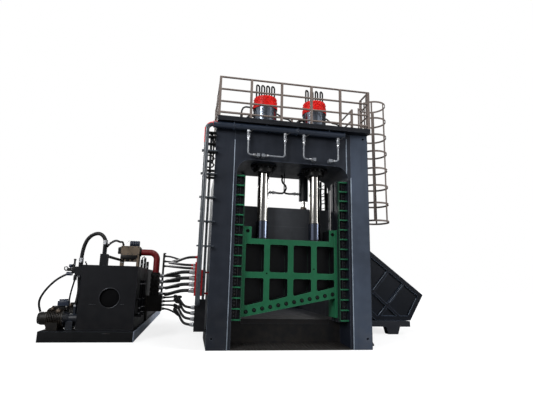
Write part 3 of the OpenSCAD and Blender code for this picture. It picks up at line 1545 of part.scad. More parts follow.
// Pipes and sockets on the tank: tower, pressure line, corner block, side pipes
module tank_pipework() {
  tank_top = skid_h + tank_h;
  tank_left = skid_right - tank_right_in - tank_w;
  side_y = skid_y + tank_set + side_pipe_in;
  arch_start = route_arch[0];
  arch_end = route_arch[len(route_arch) - 1];
  color(iron) {
    block([tower_left, tower_y, tank_top], [tower_left + tower_w, tower_y + tower_d, tank_top + tower_h]);
    rod([tower_left + tower_w * cross_pipe_share, tower_y + tower_d, cross_pipe_z],
      [tower_left + tower_w * cross_pipe_share, block_y, cross_pipe_z], cross_pipe_r);
    block([tank_left - corner_block_w, arch_start[1] - corner_block_w / 2, corner_block_low],
      [tank_left, arch_start[1] + corner_block_w / 2, corner_block_low + corner_block_h]);
  }
  color(steel) {
    rod([arch_start[0], arch_start[1], corner_block_low + corner_block_h], arch_start, arch_socket_r);
    rod([arch_end[0], arch_end[1], tank_top + tower_h], arch_end, arch_socket_r);
    for (i = [0 : side_pipes - 1])
      translate([skid_right - tank_right_in + side_pipe_off, side_y + i * side_pipe_pitch, 0]) {
        block([-side_pipe_off, -side_pipe_off, side_pipe_low - side_flange_t],
          [side_pipe_off, side_pipe_off, side_pipe_low]);
        translate([0, 0, side_pipe_low]) cylinder(r = side_pipe_r * (i + 1), h = side_pipe_h - side_pipe_low);
        translate([0, 0, side_pipe_low]) cylinder(r = side_pipe_off, h = side_flange_t);
        translate([0, 0, side_pipe_low + side_pipe_h / 4]) cylinder(r = side_pipe_off, h = side_flange_t);
      }
  }
}

module hose_a() { color(rubber) hose(route_a, small_hose_r); }
module hose_b() { color(rubber) hose(route_b, small_hose_r); }
module hose_c() { color(rubber) hose(route_c, small_hose_r); }
module hose_d() { color(rubber) hose(route_d, big_hose_r); }
module hose_e() { color(rubber) hose(route_e, big_hose_r); }
module hose_f() { color(rubber) hose(route_f, big_hose_r); }
module hose_g() { color(rubber) hose(route_g, big_hose_r); }
module hose_h() { color(rubber) hose(route_h, small_hose_r); }
module hose_i() { color(rubber) hose(route_i, small_hose_r); }
module hose_j() { color(rubber) hose(route_j, small_hose_r); }
module hose_k() { color(rubber) hose(route_k, small_hose_r); }
module hose_arch() { color(rubber) hose(route_arch, arch_hose_r, [0, 1, 0]); }

left_column();
right_column();
top_beam();
bed_block();
fixed_blade();
discharge_plate();
guide_blocks();
guide_ribs();
clamp_wear_plates();
anchor_feet();
platform_deck();
platform_railings();
ladder();
ladder_cage();
main_barrels();
main_barrel_heads();
head_hose_loops();
main_glands();
clamp_barrels();
header_pipe();
branch_pipes();
riser_pipes();
red_manifold();
lower_manifold();
feed_trough();
feed_barrel();
feed_cradle();
hopper_base();
knife_carriage();
carriage_shoes();
moving_blade();
main_rods();
clamp_head();
clamp_rods();
feed_pusher();
feed_rod();
tray_floor();
tray_ends();
lift_barrels();
lift_rods();
station_skid();
oil_tank();
pump_motors();
pumps();
valve_block();
valve_stack();
return_pipe();
tank_pipework();
hose_a();
hose_b();
hose_c();
hose_d();
hose_e();
hose_f();
hose_g();
hose_h();
hose_i();
hose_j();
hose_k();
hose_arch();
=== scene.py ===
import math
import random

import bmesh
import bpy
import numpy as np
from mathutils import Matrix, Vector


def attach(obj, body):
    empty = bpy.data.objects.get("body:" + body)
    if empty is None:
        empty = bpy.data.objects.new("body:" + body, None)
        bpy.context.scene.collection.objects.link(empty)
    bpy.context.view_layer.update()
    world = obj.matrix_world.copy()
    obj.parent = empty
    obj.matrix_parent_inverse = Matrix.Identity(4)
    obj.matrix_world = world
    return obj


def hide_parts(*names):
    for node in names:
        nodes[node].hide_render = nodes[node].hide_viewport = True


# The gantry shear's looks, hoses and small fittings, around the solids of part.scad. Metres:
# +X to the right seen from the discharge side, +Y towards the feed side, +Z up.
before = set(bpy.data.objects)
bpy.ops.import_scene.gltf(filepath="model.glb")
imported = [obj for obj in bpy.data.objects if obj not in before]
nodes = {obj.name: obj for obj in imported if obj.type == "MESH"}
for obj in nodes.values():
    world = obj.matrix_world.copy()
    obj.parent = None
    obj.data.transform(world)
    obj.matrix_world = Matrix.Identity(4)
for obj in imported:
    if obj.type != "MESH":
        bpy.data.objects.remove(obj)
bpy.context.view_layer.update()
random.seed(7)

# ---- Camera at the photograph's place
PHOTO_WIDTH = 533
FOCAL_LENGTH = 399.8  # in pixels of the photograph
SENSOR = 36
CAMERA_AT = (-2.485, -10.813, 1.592)
yaw, pitch, roll = [math.radians(a) for a in (10.17, 11.614, 1.407)]
ahead = Vector((math.sin(yaw) * math.cos(pitch), math.cos(yaw) * math.cos(pitch), math.sin(pitch)))
level = Vector((math.cos(yaw), -math.sin(yaw), 0))
upright = level.cross(ahead)
cam_x = level * math.cos(roll) + upright * math.sin(roll)
cam_y = -level * math.sin(roll) + upright * math.cos(roll)
camera = bpy.data.cameras.new("camera")
camera.sensor_width = SENSOR
camera.lens = FOCAL_LENGTH * SENSOR / PHOTO_WIDTH
camera.clip_end = 200
cam = bpy.data.objects.new("camera", camera)
turned = Matrix((cam_x, cam_y, -ahead)).transposed().to_4x4()
cam.matrix_world = Matrix.Translation(CAMERA_AT) @ turned
bpy.context.scene.collection.objects.link(cam)
bpy.context.scene.camera = cam

# ---- Places taken over from part.scad
RIGHT, REAR, UP = (1, 0, 0), (0, 1, 0), (0, 0, 1)
LEFT, FRONT, DOWN = (-1, 0, 0), (0, -1, 0), (0, 0, -1)
SIDES = (-1, 1)
FACE_Y = -0.951  # just in front of the columns
MAIN_X, MAIN_Y = 0.72, -0.4  # axes of the main cylinders
CLAMP_X, CLAMP_Y = 0.58, 0.2  # axes of the clamp cylinders
CLAMP_HOSE_Z = 4.12
HEADER_Y, HEADER_Z = -1.07, 5.524  # header pipe in front of the crosshead
VALVE_X = (-1.25, -0.28, 0.23, 1.18)  # valves below the header pipe
VALVE_Z = 5.345
PORT_X = (-0.985, -0.85, 0.52, 0.96)  # where their branch pipes enter the crosshead
PORT_Z = 4.79
KNIFE_Y = -0.7  # front of the knife carriage
KNIFE_BOLTS = 12
KNIFE_BOLT_X = 1.12  # the first and last bolt, from the centreline
TANK_LEFT, TANK_RIGHT, TANK_Y = -5.35, -3.93, 0.65
MANHOLE = (-4.59, 1.085)
MANHOLE_R = 0.258
PUMP_Y = [0.95 + 1.65 * j for j in range(4)]  # motor and pump sets
PUMP_Z = 0.53
BLOCK_Y = 3.45  # valve block and valve stack
MANIFOLD_Y = -0.8  # where the hoses arrive at the gantry


# ---- Materials
def lin(r, g, b):
    """An sRGB colour in 0 to 255 as a linear one."""
    return tuple(((c / 255 + 0.055) / 1.055) ** 2.4 if c > 10 else c / 255 / 12.92
                 for c in (r, g, b)) + (1,)


def shade(colour, k):
    return tuple(min(1, v * k) for v in colour[:3]) + (1,)


class Nodes:
    """Short ways to add nodes to one shader tree."""

    def __init__(self, tree):
        self.tree = tree

    def new(self, kind, **settings):
        node = self.tree.nodes.new("ShaderNode" + kind)
        for key, value in settings.items():
            setattr(node, key, value)
        return node

    def put(self, socket, value):
        """Link an output to the socket, or set the socket's own value."""
        if isinstance(value, bpy.types.NodeSocket):
            self.tree.links.new(value, socket)
        else:
            socket.default_value = value

    def ramp(self, value, lo, hi, a=0.0, b=1.0):
        """a at lo and below, b at hi and above."""
        node = self.new("MapRange")
        self.put(node.inputs["Value"], value)
        for key, v in (("From Min", lo), ("From Max", hi), ("To Min", a), ("To Max", b)):
            node.inputs[key].default_value = v
        return node.outputs[0]

    def math(self, operation, a, b):
        node = self.new("Math", operation=operation)
        self.put(node.inputs[0], a)
        self.put(node.inputs[1], b)
        return node.outputs[0]

    def times(self, a, b):
        return self.math("MULTIPLY", a, b)

    def mix(self, share, a, b):
        """Colour a, or b where share is 1."""
        node = self.new("Mix", data_type="RGBA")
        for k, v in ((0, share), (6, a), (7, b)):
            self.put(node.inputs[k], v)
        return node.outputs[2]

    def mix_shader(self, share, a, b):
        node = self.new("MixShader")
        for k, v in enumerate((share, a, b)):
            self.put(node.inputs[k], v)
        return node.outputs[0]

    def axes(self, vector):
        node = self.new("SeparateXYZ")
        self.put(node.inputs[0], vector)
        return node.outputs


class Surface(Nodes):
    """A new material, with patterns in the part's own coordinates."""

    def __init__(self, name):
        self.mat = bpy.data.materials.new(name)
        self.mat.use_nodes = True
        super().__init__(self.mat.node_tree)
        self.shader = self.tree.nodes["Principled BSDF"].inputs
        self.place = self.new("TexCoord").outputs["Object"]

    def noise(self, scale, detail, stretch=(1, 1, 1)):
        mapping = self.new("Mapping")
        mapping.inputs["Scale"].default_value = stretch
        self.put(mapping.inputs["Vector"], self.place)
        node = self.new("TexNoise")
        for key, v in (("Vector", mapping.outputs[0]), ("Scale", scale), ("Detail", detail),
                       ("Roughness", 0.55)):
            self.put(node.inputs[key], v)
        return node.outputs["Fac"]

    def edges(self, radius):
        """1 along sharp outer and inner edges, 0 on flat faces."""
        bevel = self.new("Bevel", samples=4)
        bevel.inputs["Radius"].default_value = radius
        dot = self.new("VectorMath", operation="DOT_PRODUCT")
        self.put(dot.inputs[0], bevel.outputs[0])
        self.put(dot.inputs[1], self.new("NewGeometry").outputs["Normal"])
        return self.ramp(dot.outputs["Value"], 0.99, 0.8)

    def bump(self, height, strength, distance):
        node = self.new("Bump")
        for key, v in (("Strength", strength), ("Distance", distance), ("Height", height)):
            self.put(node.inputs[key], v)
        self.put(self.shader["Normal"], node.outputs[0])


def paint(name, colour, rough=0.42, spec=0.2, var=0.3, wear=None, wear_amount=0.5, dust=None,
          dust_amount=0.25, coat=0.0, flow=(9, 9, 0.45), split=None, inner=None, edge=0.014):
    """Sprayed machine paint: cloudy tone, runs, dust near the floor, bare edges, orange peel.

    flow is the scale of the runs along x, y and z. split = (axis, at, colour) gives another colour
    beyond a plane of the part's own coordinates, used for a second paint, for a painted lit side
    and for painted shade; inner = (at, colour) paints shade where |x| is below at.
    """
    s = Surface(name)
    cloud = s.ramp(s.noise(0.55, 4), 0.3, 0.7)
    mid = s.noise(4.5, 5)
    runs = s.ramp(s.noise(1.0, 4, flow), 0.52, 0.72)
    peel = s.noise(160, 2)
    base = s.mix(cloud, shade(colour, 1 - var), shade(colour, 1 + var))
    base = s.mix(s.times(s.ramp(mid, 0.45, 0.75), 0.35), base, shade(colour, 1 + 1.4 * var))
    base = s.mix(s.times(runs, 0.3), base, shade(colour, 1 - 1.3 * var))
    if dust:
        low = s.ramp(s.axes(s.place)[2], 1.4, 0.0)
        base = s.mix(s.times(s.times(low, s.ramp(mid, 0.35, 0.65)), dust_amount), base, dust)
    if split:
        axis, at, other = split
        other = s.mix(s.ramp(mid, 0.3, 0.7), shade(other, 0.6), shade(other, 1.5))
        base = s.mix(s.ramp(s.axes(s.place)[axis], at, at + 0.004), base, other)
    if inner:
        at, other = inner
        from_middle = s.math("ABSOLUTE", s.axes(s.place)[0], 0)
        base = s.mix(s.ramp(from_middle, at, at + 0.002), other, base)
    if wear:
        worn = s.times(s.edges(edge), s.ramp(s.noise(14, 4), 0.3, 0.62, 0.25, 1.0))
        base = s.mix(s.times(worn, wear_amount), base, wear)
    s.put(s.shader["Base Color"], base)
    s.put(s.shader["Roughness"], s.ramp(mid, 0.3, 0.7, rough * 0.85, rough * 1.2))
    s.shader["Specular IOR Level"].default_value = spec
    s.shader["Coat Weight"].default_value = coat
    s.shader["Coat Roughness"].default_value = 0.08
    s.bump(s.math("ADD", peel, s.times(mid, 2.0)), 0.25, 0.002)
    return s.mat


def metal(name, colour, rough, grain_stretch, grain_scale, var, spots=None, spots_amount=0.4,
          metallic=1.0, split=None):
    """Bare metal: brushed grain along one direction, cloudy tone and rusty or oily spots.

    split = (axis, at, colour) gives another colour below a plane of the part's own coordinates; on
    the main rods it paints the sleeves' dark reflection.
    """
    s = Surface(name)
    cloud = s.ramp(s.noise(1.3, 4), 0.3, 0.7)
    grain = s.noise(grain_scale, 3, grain_stretch)
    base = s.mix(cloud, shade(colour, 1 - var), shade(colour, 1 + var * 0.4))
    base = s.mix(s.times(s.ramp(grain, 0.4, 0.7), 0.35), base, shade(colour, 1 - var * 1.3))
    if spots:
        base = s.mix(s.times(s.ramp(s.noise(9, 5), 0.52, 0.7), spots_amount), base, spots)
    if split:
        axis, at, other = split
        base = s.mix(s.ramp(s.axes(s.place)[axis], at, at + 0.002), other, base)
    s.put(s.shader["Base Color"], base)
    s.put(s.shader["Roughness"], s.ramp(grain, 0.3, 0.7, rough * 0.75, rough * 1.35))
    s.shader["Metallic"].default_value = metallic
    s.bump(grain, 0.15, 0.0008)
    return s.mat


def hose_rubber(name, colour):
    """Black rubber hose cover with a fine grain and a dusty bloom."""
    s = Surface(name)
    bloom = s.noise(7, 4)
    s.put(s.shader["Base Color"], s.mix(s.ramp(bloom, 0.3, 0.75), colour, shade(colour, 2.2)))
    s.put(s.shader["Roughness"], s.ramp(bloom, 0.3, 0.7, 0.4, 0.6))
    s.shader["Specular IOR Level"].default_value = 0.22
    s.bump(s.noise(260, 2), 0.4, 0.0015)
    return s.mat


EDGE = lin(125, 135, 150)
RUST = lin(92, 70, 52)
GREEN_EDGE = lin(80, 150, 112)
M = {
    "slate": paint("slate_paint", lin(27, 31, 39), wear=EDGE, wear_amount=0.4,
                   dust=lin(46, 43, 40)),
    # A lighter copy of slate_paint for the right column and feed barrel: painted light on the lit
    # side. Where |x| is below 1.577 the inner jamb is painted darker: painted shade.
    "lit_slate_right": paint("light_slate_paint", lin(52, 60, 73), wear=EDGE, wear_amount=0.4,
                         dust=lin(70, 68, 66), inner=(1.577, lin(20, 24, 33))),
    "slate_dark": paint("dark_slate_paint", lin(18, 20, 25), wear=EDGE, wear_amount=0.25,
                        dust=lin(34, 31, 28)),
    "bed": paint("bed_paint", lin(16, 17, 20), wear=EDGE, wear_amount=0.2, dust=lin(40, 35, 29),
                 dust_amount=0.6),
    "clamp": paint("clamp_paint", lin(46, 48, 52), rough=0.36, spec=0.3, wear=lin(120, 120, 124),
                   wear_amount=0.3, flow=(0.35, 1, 13)),
    # The tray's wide, strong light edges are worn paint and also painted highlights along its
    # ribs.
    "tray": paint("tray_paint", lin(9, 14, 23), spec=0.12, wear=lin(92, 106, 126),
                  wear_amount=0.8, edge=0.03),
    # A darker copy of slate_paint for the platform deck: painted shade on the deck's fascia.
    "deck": paint("shaded_deck_slate_paint", lin(14, 16, 21), wear=EDGE, wear_amount=0.2),
    "header": paint("header_slate_paint", lin(26, 34, 47), rough=0.3, spec=0.4, coat=0.15),
    "riser": paint("riser_slate_paint", lin(44, 49, 55), rough=0.28, spec=0.45, wear=EDGE,
                   wear_amount=0.2),
    "green": paint("green_paint", lin(22, 86, 56), rough=0.36, spec=0.25, var=0.16,
                   wear=GREEN_EDGE, wear_amount=0.4),
    # Where |x| is below 1.282 the ribs' inner strip beside the carriage is painted dark green:
    # painted shade in the gap.
    "ribs": paint("rib_green_paint_shaded_strip", lin(22, 88, 58), rough=0.36, spec=0.25, var=0.2,
                  wear=GREEN_EDGE, wear_amount=0.4, inner=(1.282, lin(14, 40, 30))),
    # Behind y -0.692 the carriage is painted near-black: painted shade in its pockets and behind
    # its front face.
    "carriage": paint("carriage_green_paint_shaded_pockets", lin(22, 84, 55), rough=0.36, spec=0.25, var=0.16,
                      wear=lin(95, 165, 130), wear_amount=0.4,
                      split=(1, -0.692, lin(13, 14, 17))),
    "rail": paint("rail_paint", lin(96, 86, 81), rough=0.5, var=0.25, wear=lin(160, 150, 142),
                  wear_amount=0.35),
    "red": paint("red_paint", lin(196, 14, 8), rough=0.38, spec=0.2, var=0.2,
                 wear=lin(225, 120, 105), wear_amount=0.3),
    "dark_red": paint("dark_red_paint", lin(140, 14, 18), rough=0.36, spec=0.3, var=0.2,
                      wear=lin(190, 90, 80), wear_amount=0.3),
    "pipe_red": paint("pipe_red_paint", lin(92, 14, 18), rough=0.34, spec=0.3, var=0.2),
    "black": paint("black_paint", lin(9, 10, 14), rough=0.46, spec=0.15, wear=lin(80, 85, 92),
                   wear_amount=0.28, dust=lin(30, 28, 26)),
    "gland": paint("gland_paint", lin(7, 7, 8), rough=0.45, spec=0.2, wear=lin(70, 72, 78),
                   wear_amount=0.25),
    # The motors' tan worn edges also stand for highlights on the body and fins: partly painted
    # highlight.
    "motor": paint("motor_black_paint", lin(5, 5, 5), rough=0.45, spec=0.2, wear=lin(80, 70, 60),
                   wear_amount=0.45, dust=lin(50, 42, 34)),
    "stack": paint("stack_black_paint", lin(17, 16, 16), rough=0.5, spec=0.25,
                   wear=lin(88, 72, 54), wear_amount=0.45, dust=lin(56, 44, 28)),
    # Beyond x -3.872 the skid's side beam facing +X is painted pale blue-grey: painted light on
    # its lit side.
    "skid": paint("skid_slate_paint_with_lit_side", lin(4, 5, 7), rough=0.34, spec=0.22, wear=EDGE,
                  wear_amount=0.35, split=(0, -3.872, lin(140, 150, 168))),
    "tan": paint("tan_paint", lin(104, 91, 77), rough=0.5, var=0.14, wear=lin(165, 152, 135),
                 wear_amount=0.4, split=(2, 2.6705, lin(20, 34, 60))),
    "coil": paint("coil_paint", lin(13, 25, 44), rough=0.35, spec=0.4, var=0.3,
                  wear=lin(130, 140, 155), wear_amount=0.5),
    "blue": paint("blue_paint", lin(12, 19, 30), rough=0.4, spec=0.3, var=0.3,
                  wear=lin(90, 110, 130), wear_amount=0.4, dust=lin(30, 28, 27),
                  dust_amount=0.7),
    # Near-black discs and rings put in holes and recesses: painted shade.
    "pit": paint("painted_hole_shade_black", lin(7, 7, 8), rough=0.8, spec=0.05),
    # Light strips along the edges of the columns and the tray's ribs: painted highlights.
    "cut": paint("painted_highlight_strip", lin(120, 130, 142), rough=0.5, spec=0.3, var=0.45),
    "steel": paint("bright_steel", lin(104, 108, 114), rough=0.26, spec=0.6, var=0.3,
                   wear=lin(190, 192, 196)),
    # Near white for the clamp's wear plates: painted light, as they stand in shade between the
    # columns.
    "wear": paint("painted_lit_wear_plate_steel", lin(176, 173, 168), rough=0.4, spec=0.4, var=0.3,
                  wear=lin(200, 198, 194), flow=(1, 22, 0.4)),
    "chrome": metal("chrome_rod", lin(214, 212, 208), 0.13, (1, 1, 0.02), 60, 0.25),
    # Below z 3.172 the main rods' sleeves take a dark blue-grey: a painted dark reflection.
    "rods": metal("chrome_rod_dark_reflection", lin(148, 146, 142), 0.13, (1, 1, 0.02), 60, 0.25,
                  split=(2, 3.172, lin(78, 84, 98))),
    "barrel": metal("barrel_steel", lin(126, 134, 146), 0.2, (1, 1, 0.04), 30, 0.4,
                    lin(40, 44, 52), 0.5),
    "fitting": metal("zinc_fitting", lin(196, 198, 202), 0.3, (1, 1, 1), 50, 0.3,
                     lin(120, 112, 104), 0.4),
    "dark_steel": metal("dark_steel", lin(74, 76, 80), 0.34, (1, 1, 1), 50, 0.35, RUST, 0.3),
    "bronze": metal("bronze", lin(84, 74, 64), 0.38, (1, 1, 1), 40, 0.3, lin(44, 38, 33), 0.4,
                    0.7),
    "blade": metal("blade_steel", lin(40, 39, 40), 0.45, (0.05, 1, 1), 60, 0.3,
                   lin(48, 36, 28), 0.4, 0.7),
    "plate": metal("worn_steel", lin(24, 22, 20), 0.6, (1, 0.1, 0.1), 18, 0.35,
                   lin(36, 28, 22), 0.5, 0.2),
    "rubber": hose_rubber("hose_rubber", lin(8, 8, 9)),
}
# The material of each CAD node that stays in sight
FINISHES = {
    "slate": "left_column top_beam anchor_feet feed_trough feed_cradle hopper_base",
    "bed": "bed_block",
    "lit_slate_right": "right_column feed_barrel",
    "slate_dark": "guide_blocks clamp_barrels feed_pusher",
    "clamp": "clamp_head",
    "tray": "tray_floor tray_ends",
    "deck": "platform_deck",
    "header": "header_pipe",
    "riser": "riser_pipes",
    "green": "carriage_shoes",
    "ribs": "guide_ribs",
    "carriage": "knife_carriage",
    "rail": "platform_railings ladder ladder_cage",
    "red": "main_barrel_heads",
    "dark_red": "red_manifold",
    "pipe_red": "return_pipe",
    "black": "oil_tank lower_manifold tank_pipework lift_barrels",
    "gland": "main_glands",
    "motor": "pump_motors",
    "stack": "valve_stack",
    "skid": "station_skid",
    "tan": "valve_block",
    "blue": "pumps",
    "chrome": "clamp_rods feed_rod lift_rods",
    "rods": "main_rods",
    "barrel": "main_barrels",
    "steel": "branch_pipes",
    "blade": "fixed_blade moving_blade",
    "plate": "discharge_plate",
    "wear": "clamp_wear_plates",
    "rubber": "head_hose_loops",
}
for material, names in FINISHES.items():
    for name in names.split():
        if not nodes[name].material_slots:
            nodes[name].data.materials.append(None)
        for slot in nodes[name].material_slots:
            slot.link = "OBJECT"
            slot.material = M[material]


# ---- Small mesh kit
def add_object(name, data):
    o = bpy.data.objects.new(name, data)
    bpy.context.scene.collection.objects.link(o)
    return o


def around(count, radius, first=0.5):
    """Offsets of places spread evenly over a circle, the first one that share of a step round."""
    for k in range(count):
        a = (k + first) * 2 * math.pi / count
        yield radius * math.cos(a), radius * math.sin(a)


class Piece:
    """One mesh, drawn in the part's frame at rest, that rides on a body."""

    def __init__(self, name, material, body="frame"):
        self.name, self.material, self.body = name, material, body
        self.bm = bmesh.new()

    def __enter__(self):
        return self

    def __exit__(self, failure, *rest):
        if failure:
            return
        bmesh.ops.recalc_face_normals(self.bm, faces=self.bm.faces)
        mesh = bpy.data.meshes.new(self.name)
        self.bm.to_mesh(mesh)
        self.bm.free()
        mesh.shade_smooth()
        mesh.set_sharp_from_angle(angle=math.radians(35))
        mesh.materials.append(M[self.material])
        o = add_object(self.name, mesh)
        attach(o, self.body)

    def circle(self, centre, x, y, radius, seg):
        steps = [2 * math.pi * k / seg for k in range(seg)]
        return [self.bm.verts.new(centre + radius * (math.cos(a) * x + math.sin(a) * y))
                for a in steps]

    def skin(self, rings):
        """Join rings of equally many points, and close both ends."""
        seg = len(rings[0])
        for a, b in zip(rings, rings[1:]):
            for k in range(seg):
                self.bm.faces.new((a[k], a[(k + 1) % seg], b[(k + 1) % seg], b[k]))
        self.bm.faces.new(list(reversed(rings[0])))
        self.bm.faces.new(rings[-1])

    def box(self, lo, hi, bevel=0.004):
        lo, hi = Vector(lo), Vector(hi)
        made = bmesh.ops.create_cube(self.bm, size=1)["verts"]
        size = hi - lo
        m = Matrix.Translation((lo + hi) / 2) @ Matrix.Diagonal((*size, 1))
        bmesh.ops.transform(self.bm, matrix=m, verts=made)
        edges = list(dict.fromkeys(e for v in made for e in v.link_edges))
        bmesh.ops.bevel(self.bm, geom=edges, offset=min(bevel, min(size) * 0.3), segments=2,
                        affect="EDGES", profile=0.6)

    def lathe(self, start, axis, profile, seg=24):
        """profile: pairs of the distance from start along axis and the radius there."""
        start, d = Vector(start), Vector(axis).normalized()
        x = d.orthogonal().normalized()
        y = d.cross(x)
        self.skin([self.circle(start + d * along, x, y, r, seg) for along, r in profile])

    def bar(self, start, end, r, seg=20, edge=0.15):
        """A round bar with its ends chamfered by that share of its radius."""
        axis = Vector(end) - Vector(start)
        e = min(r * edge, axis.length * 0.3)
        self.lathe(start, axis, [(0, r - e), (e, r), (axis.length - e, r), (axis.length, r - e)],
                   seg)

    def nut(self, start, end, r):
        axis = Vector(end) - Vector(start)
        e = min(r * 0.14, axis.length * 0.25)
        self.lathe(start, axis, [(0, r * 0.88), (e, r), (axis.length - e, r),
                                 (axis.length, r * 0.88)], 6)

    def bolt(self, at, out, r, h):
        """Washer, hexagon head and the end of the shank above it."""
        at, out = Vector(at), Vector(out)
        self.lathe(at, out, [(0, r * 1.35), (h * 0.18, r * 1.35), (h * 0.2, r * 1.2)], 18)
        self.nut(at + out * h * 0.2, at + out * h, r)
        self.bar(at + out * h, at + out * h * 1.25, r * 0.5, 12)

    def tube(self, points, radius, seg=12):
        """A round tube through the points; radius is one number, or one for each point."""
        points = [Vector(p) for p in points]
        last = len(points) - 1
        radii = radius if isinstance(radius, list) else [radius] * len(points)
        x = None
        rings = []
        for i, (p, r) in enumerate(zip(points, radii)):
            t = (points[min(i + 1, last)] - points[max(i - 1, 0)]).normalized()
            x = x or t.orthogonal().normalized()
            x = (x - t * x.dot(t)).normalized()
            rings.append(self.circle(p, x, t.cross(x), r, seg))
        self.skin(rings)

    def bead(self, start, end, r, wave=0.25, step=0.05):
        """A weld bead, or a light strip for a painted highlight along an edge: a low rounded strip
        with an uneven width.
        """
        start, end = Vector(start), Vector(end)
        n = max(3, int((end - start).length / step))
        self.tube([start.lerp(end, i / n) for i in range(n + 1)],
                  [r * (1 + wave * (random.random() - 0.5)) for i in range(n + 1)], 6)

    def ring(self, centre, normal, radius, thick, seg=48, sides=8):
        """A round wire bent to a full circle."""
        c, n = Vector(centre), Vector(normal)
        x = n.orthogonal().normalized()
        y = n.cross(x)
        rows = []
        for k in range(seg):
            a = 2 * math.pi * k / seg
            out = math.cos(a) * x + math.sin(a) * y
            rows.append(self.circle(c + out * radius, out, n, thick, sides))
        for a, b in zip(rows, rows[1:] + rows[:1]):
            for j in range(sides):
                self.bm.faces.new((a[j], b[j], b[(j + 1) % sides], a[(j + 1) % sides]))


# ---- Free hoses
def smooth_route(points, leaving, arriving, count):
    """count points spaced evenly along a smooth curve through points, and the curve's length.

    The curve is a cubic spline over the chords, clamped to the directions at both ends.
    """
    p = np.array(points, float)
    chords = np.diff(p, axis=0)
    h = np.linalg.norm(chords, axis=1)
    n = len(p)
    a = np.zeros((n, n))
    b = np.zeros((n, 3))
    a[0, 0] = a[-1, -1] = 1
    b[0], b[-1] = [np.array(d, float) / np.linalg.norm(d) for d in (leaving, arriving)]
    for i in range(1, n - 1):
        a[i, i - 1:i + 2] = h[i], 2 * (h[i - 1] + h[i]), h[i - 1]
        b[i] = 3 * (h[i - 1] / h[i] * chords[i] + h[i] / h[i - 1] * chords[i - 1])
    slope = np.linalg.solve(a, b)
    fine = []
    for i in range(n - 1):
        for s in np.linspace(0, 1, 200, endpoint=False):
            fine.append((2 * s**3 - 3 * s**2 + 1) * p[i] + (s**3 - 2 * s**2 + s) * h[i] * slope[i]
                        + (3 * s**2 - 2 * s**3) * p[i + 1] + (s**3 - s**2) * h[i] * slope[i + 1])
    fine = np.array(fine + [p[-1]])
    arc = np.concatenate([[0], np.cumsum(np.linalg.norm(np.diff(fine, axis=0), axis=1))])
    even = np.linspace(0, arc[-1], count)
    return np.stack([np.interp(even, arc, fine[:, k]) for k in range(3)], axis=1), float(arc[-1])


def hose(name, points, leaving, arriving, radius, count, node):
    """A hose of the scene; node is the CAD node that it stands for, or None."""
    route, length = smooth_route(points, leaving, arriving, count)
    curve = bpy.data.curves.new(name, "CURVE")
    curve.dimensions = "3D"
    curve.bevel_depth = radius
    curve.bevel_resolution = 5
    curve.use_fill_caps = True
    spline = curve.splines.new("BEZIER")
    spline.resolution_u = 4
    spline.bezier_points.add(count - 1)
    for knot, place in zip(spline.bezier_points, route):
        knot.co = place
        knot.handle_left_type = knot.handle_right_type = "AUTO"
    curve.materials.append(M["rubber"])
    o = add_object(name, curve)
    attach(o, "frame")
    if node:
        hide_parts(node)


# x and y along each bundle, from the power station to the gantry's manifolds
TOP_HOSE = ((-3.395, 3.575), (-3.08, 3.42), (-2.94, 2.1), (-2.78, -0.42), (-2.42, MANIFOLD_Y))
UPPER = ((-3.395, 3.575), (-3.08, 3.42), (-2.96, 2.1), (-2.83, -0.45), (-2.5, MANIFOLD_Y))
BIG = ((-3.41, BLOCK_Y), (-3.08, 3.3), (-2.98, 2.0), (-2.89, -0.45), (-2.54, MANIFOLD_Y))
LOW = ((-3.33, BLOCK_Y), (-3.03, 3.32), (-2.86, 1.8), (-2.7, -0.45), (-2.46, MANIFOLD_Y))
# letter: bundle, heights along it, radius
PRESSURE_HOSES = {
    "a": (TOP_HOSE, (2.39, 2.33, 2.19, 2.09, 2.15), 0.03),
    "b": (UPPER, (2.21, 2.17, 2.085, 1.985, 1.955), 0.03),
    "c": (UPPER, (2.05, 2.03, 1.98, 1.905, 1.88), 0.03),
    "d": (BIG, (1.72, 1.72, 1.725, 1.755, 1.79), 0.042),
    "e": (BIG, (1.522, 1.545, 1.575, 1.605, 1.645), 0.042),
    "f": (BIG, (1.324, 1.355, 1.4, 1.445, 1.5), 0.042),
    "g": (BIG, (1.126, 1.165, 1.22, 1.29, 1.355), 0.042),
    "h": (LOW, (1.006, 1.04, 1.06, 1.07, 0.959), 0.03),
    "i": (LOW, (0.884, 0.905, 0.935, 0.975, 0.828), 0.03),
    "j": (LOW, (0.762, 0.76, 0.77, 0.825, 0.697), 0.03),
    "k": (LOW, (0.64, 0.56, 0.605, 0.7, 0.566), 0.03),
}
for key, (bundle, heights, radius) in PRESSURE_HOSES.items():
    hose("pressure_hose_" + key, [(x, y, z) for (x, y), z in zip(bundle, heights)], RIGHT, RIGHT,
         radius, 35, "hose_" + key)
hose("arched_hose", [(-5.47, 0.95, 2.03), (-5.44, 0.943, 2.4), (-5.27, 0.91, 2.73),
                     (-5.04, 0.875, 2.79), (-4.87, 0.85, 2.54)],
     UP, DOWN, 0.05, 33, "hose_arch")
hose("motor_cable", [(-6.33, 0.95, 0.688), (-6.386, 0.93, 0.944), (-6.306, 0.92, 1.173),
                     (-6.178, 0.92, 1.362), (-6.02, 0.93, 1.527), (-5.79, 0.94, 1.672),
                     (-5.574, 0.95, 1.73)],
     (-0.4, 0, 1), RIGHT, 0.028, 29, None)
hose("pilot_hose", [(-4.815, 0.85, 2.45), (-4.8, 1.3, 2.6), (-4.78, 1.9, 2.71),
                    (-4.785, 2.7, 2.745), (-4.79, 3.3, 2.672)],
     (0.1, 1, 0.5), (0, 0.6, -0.6), 0.032, 25, None)
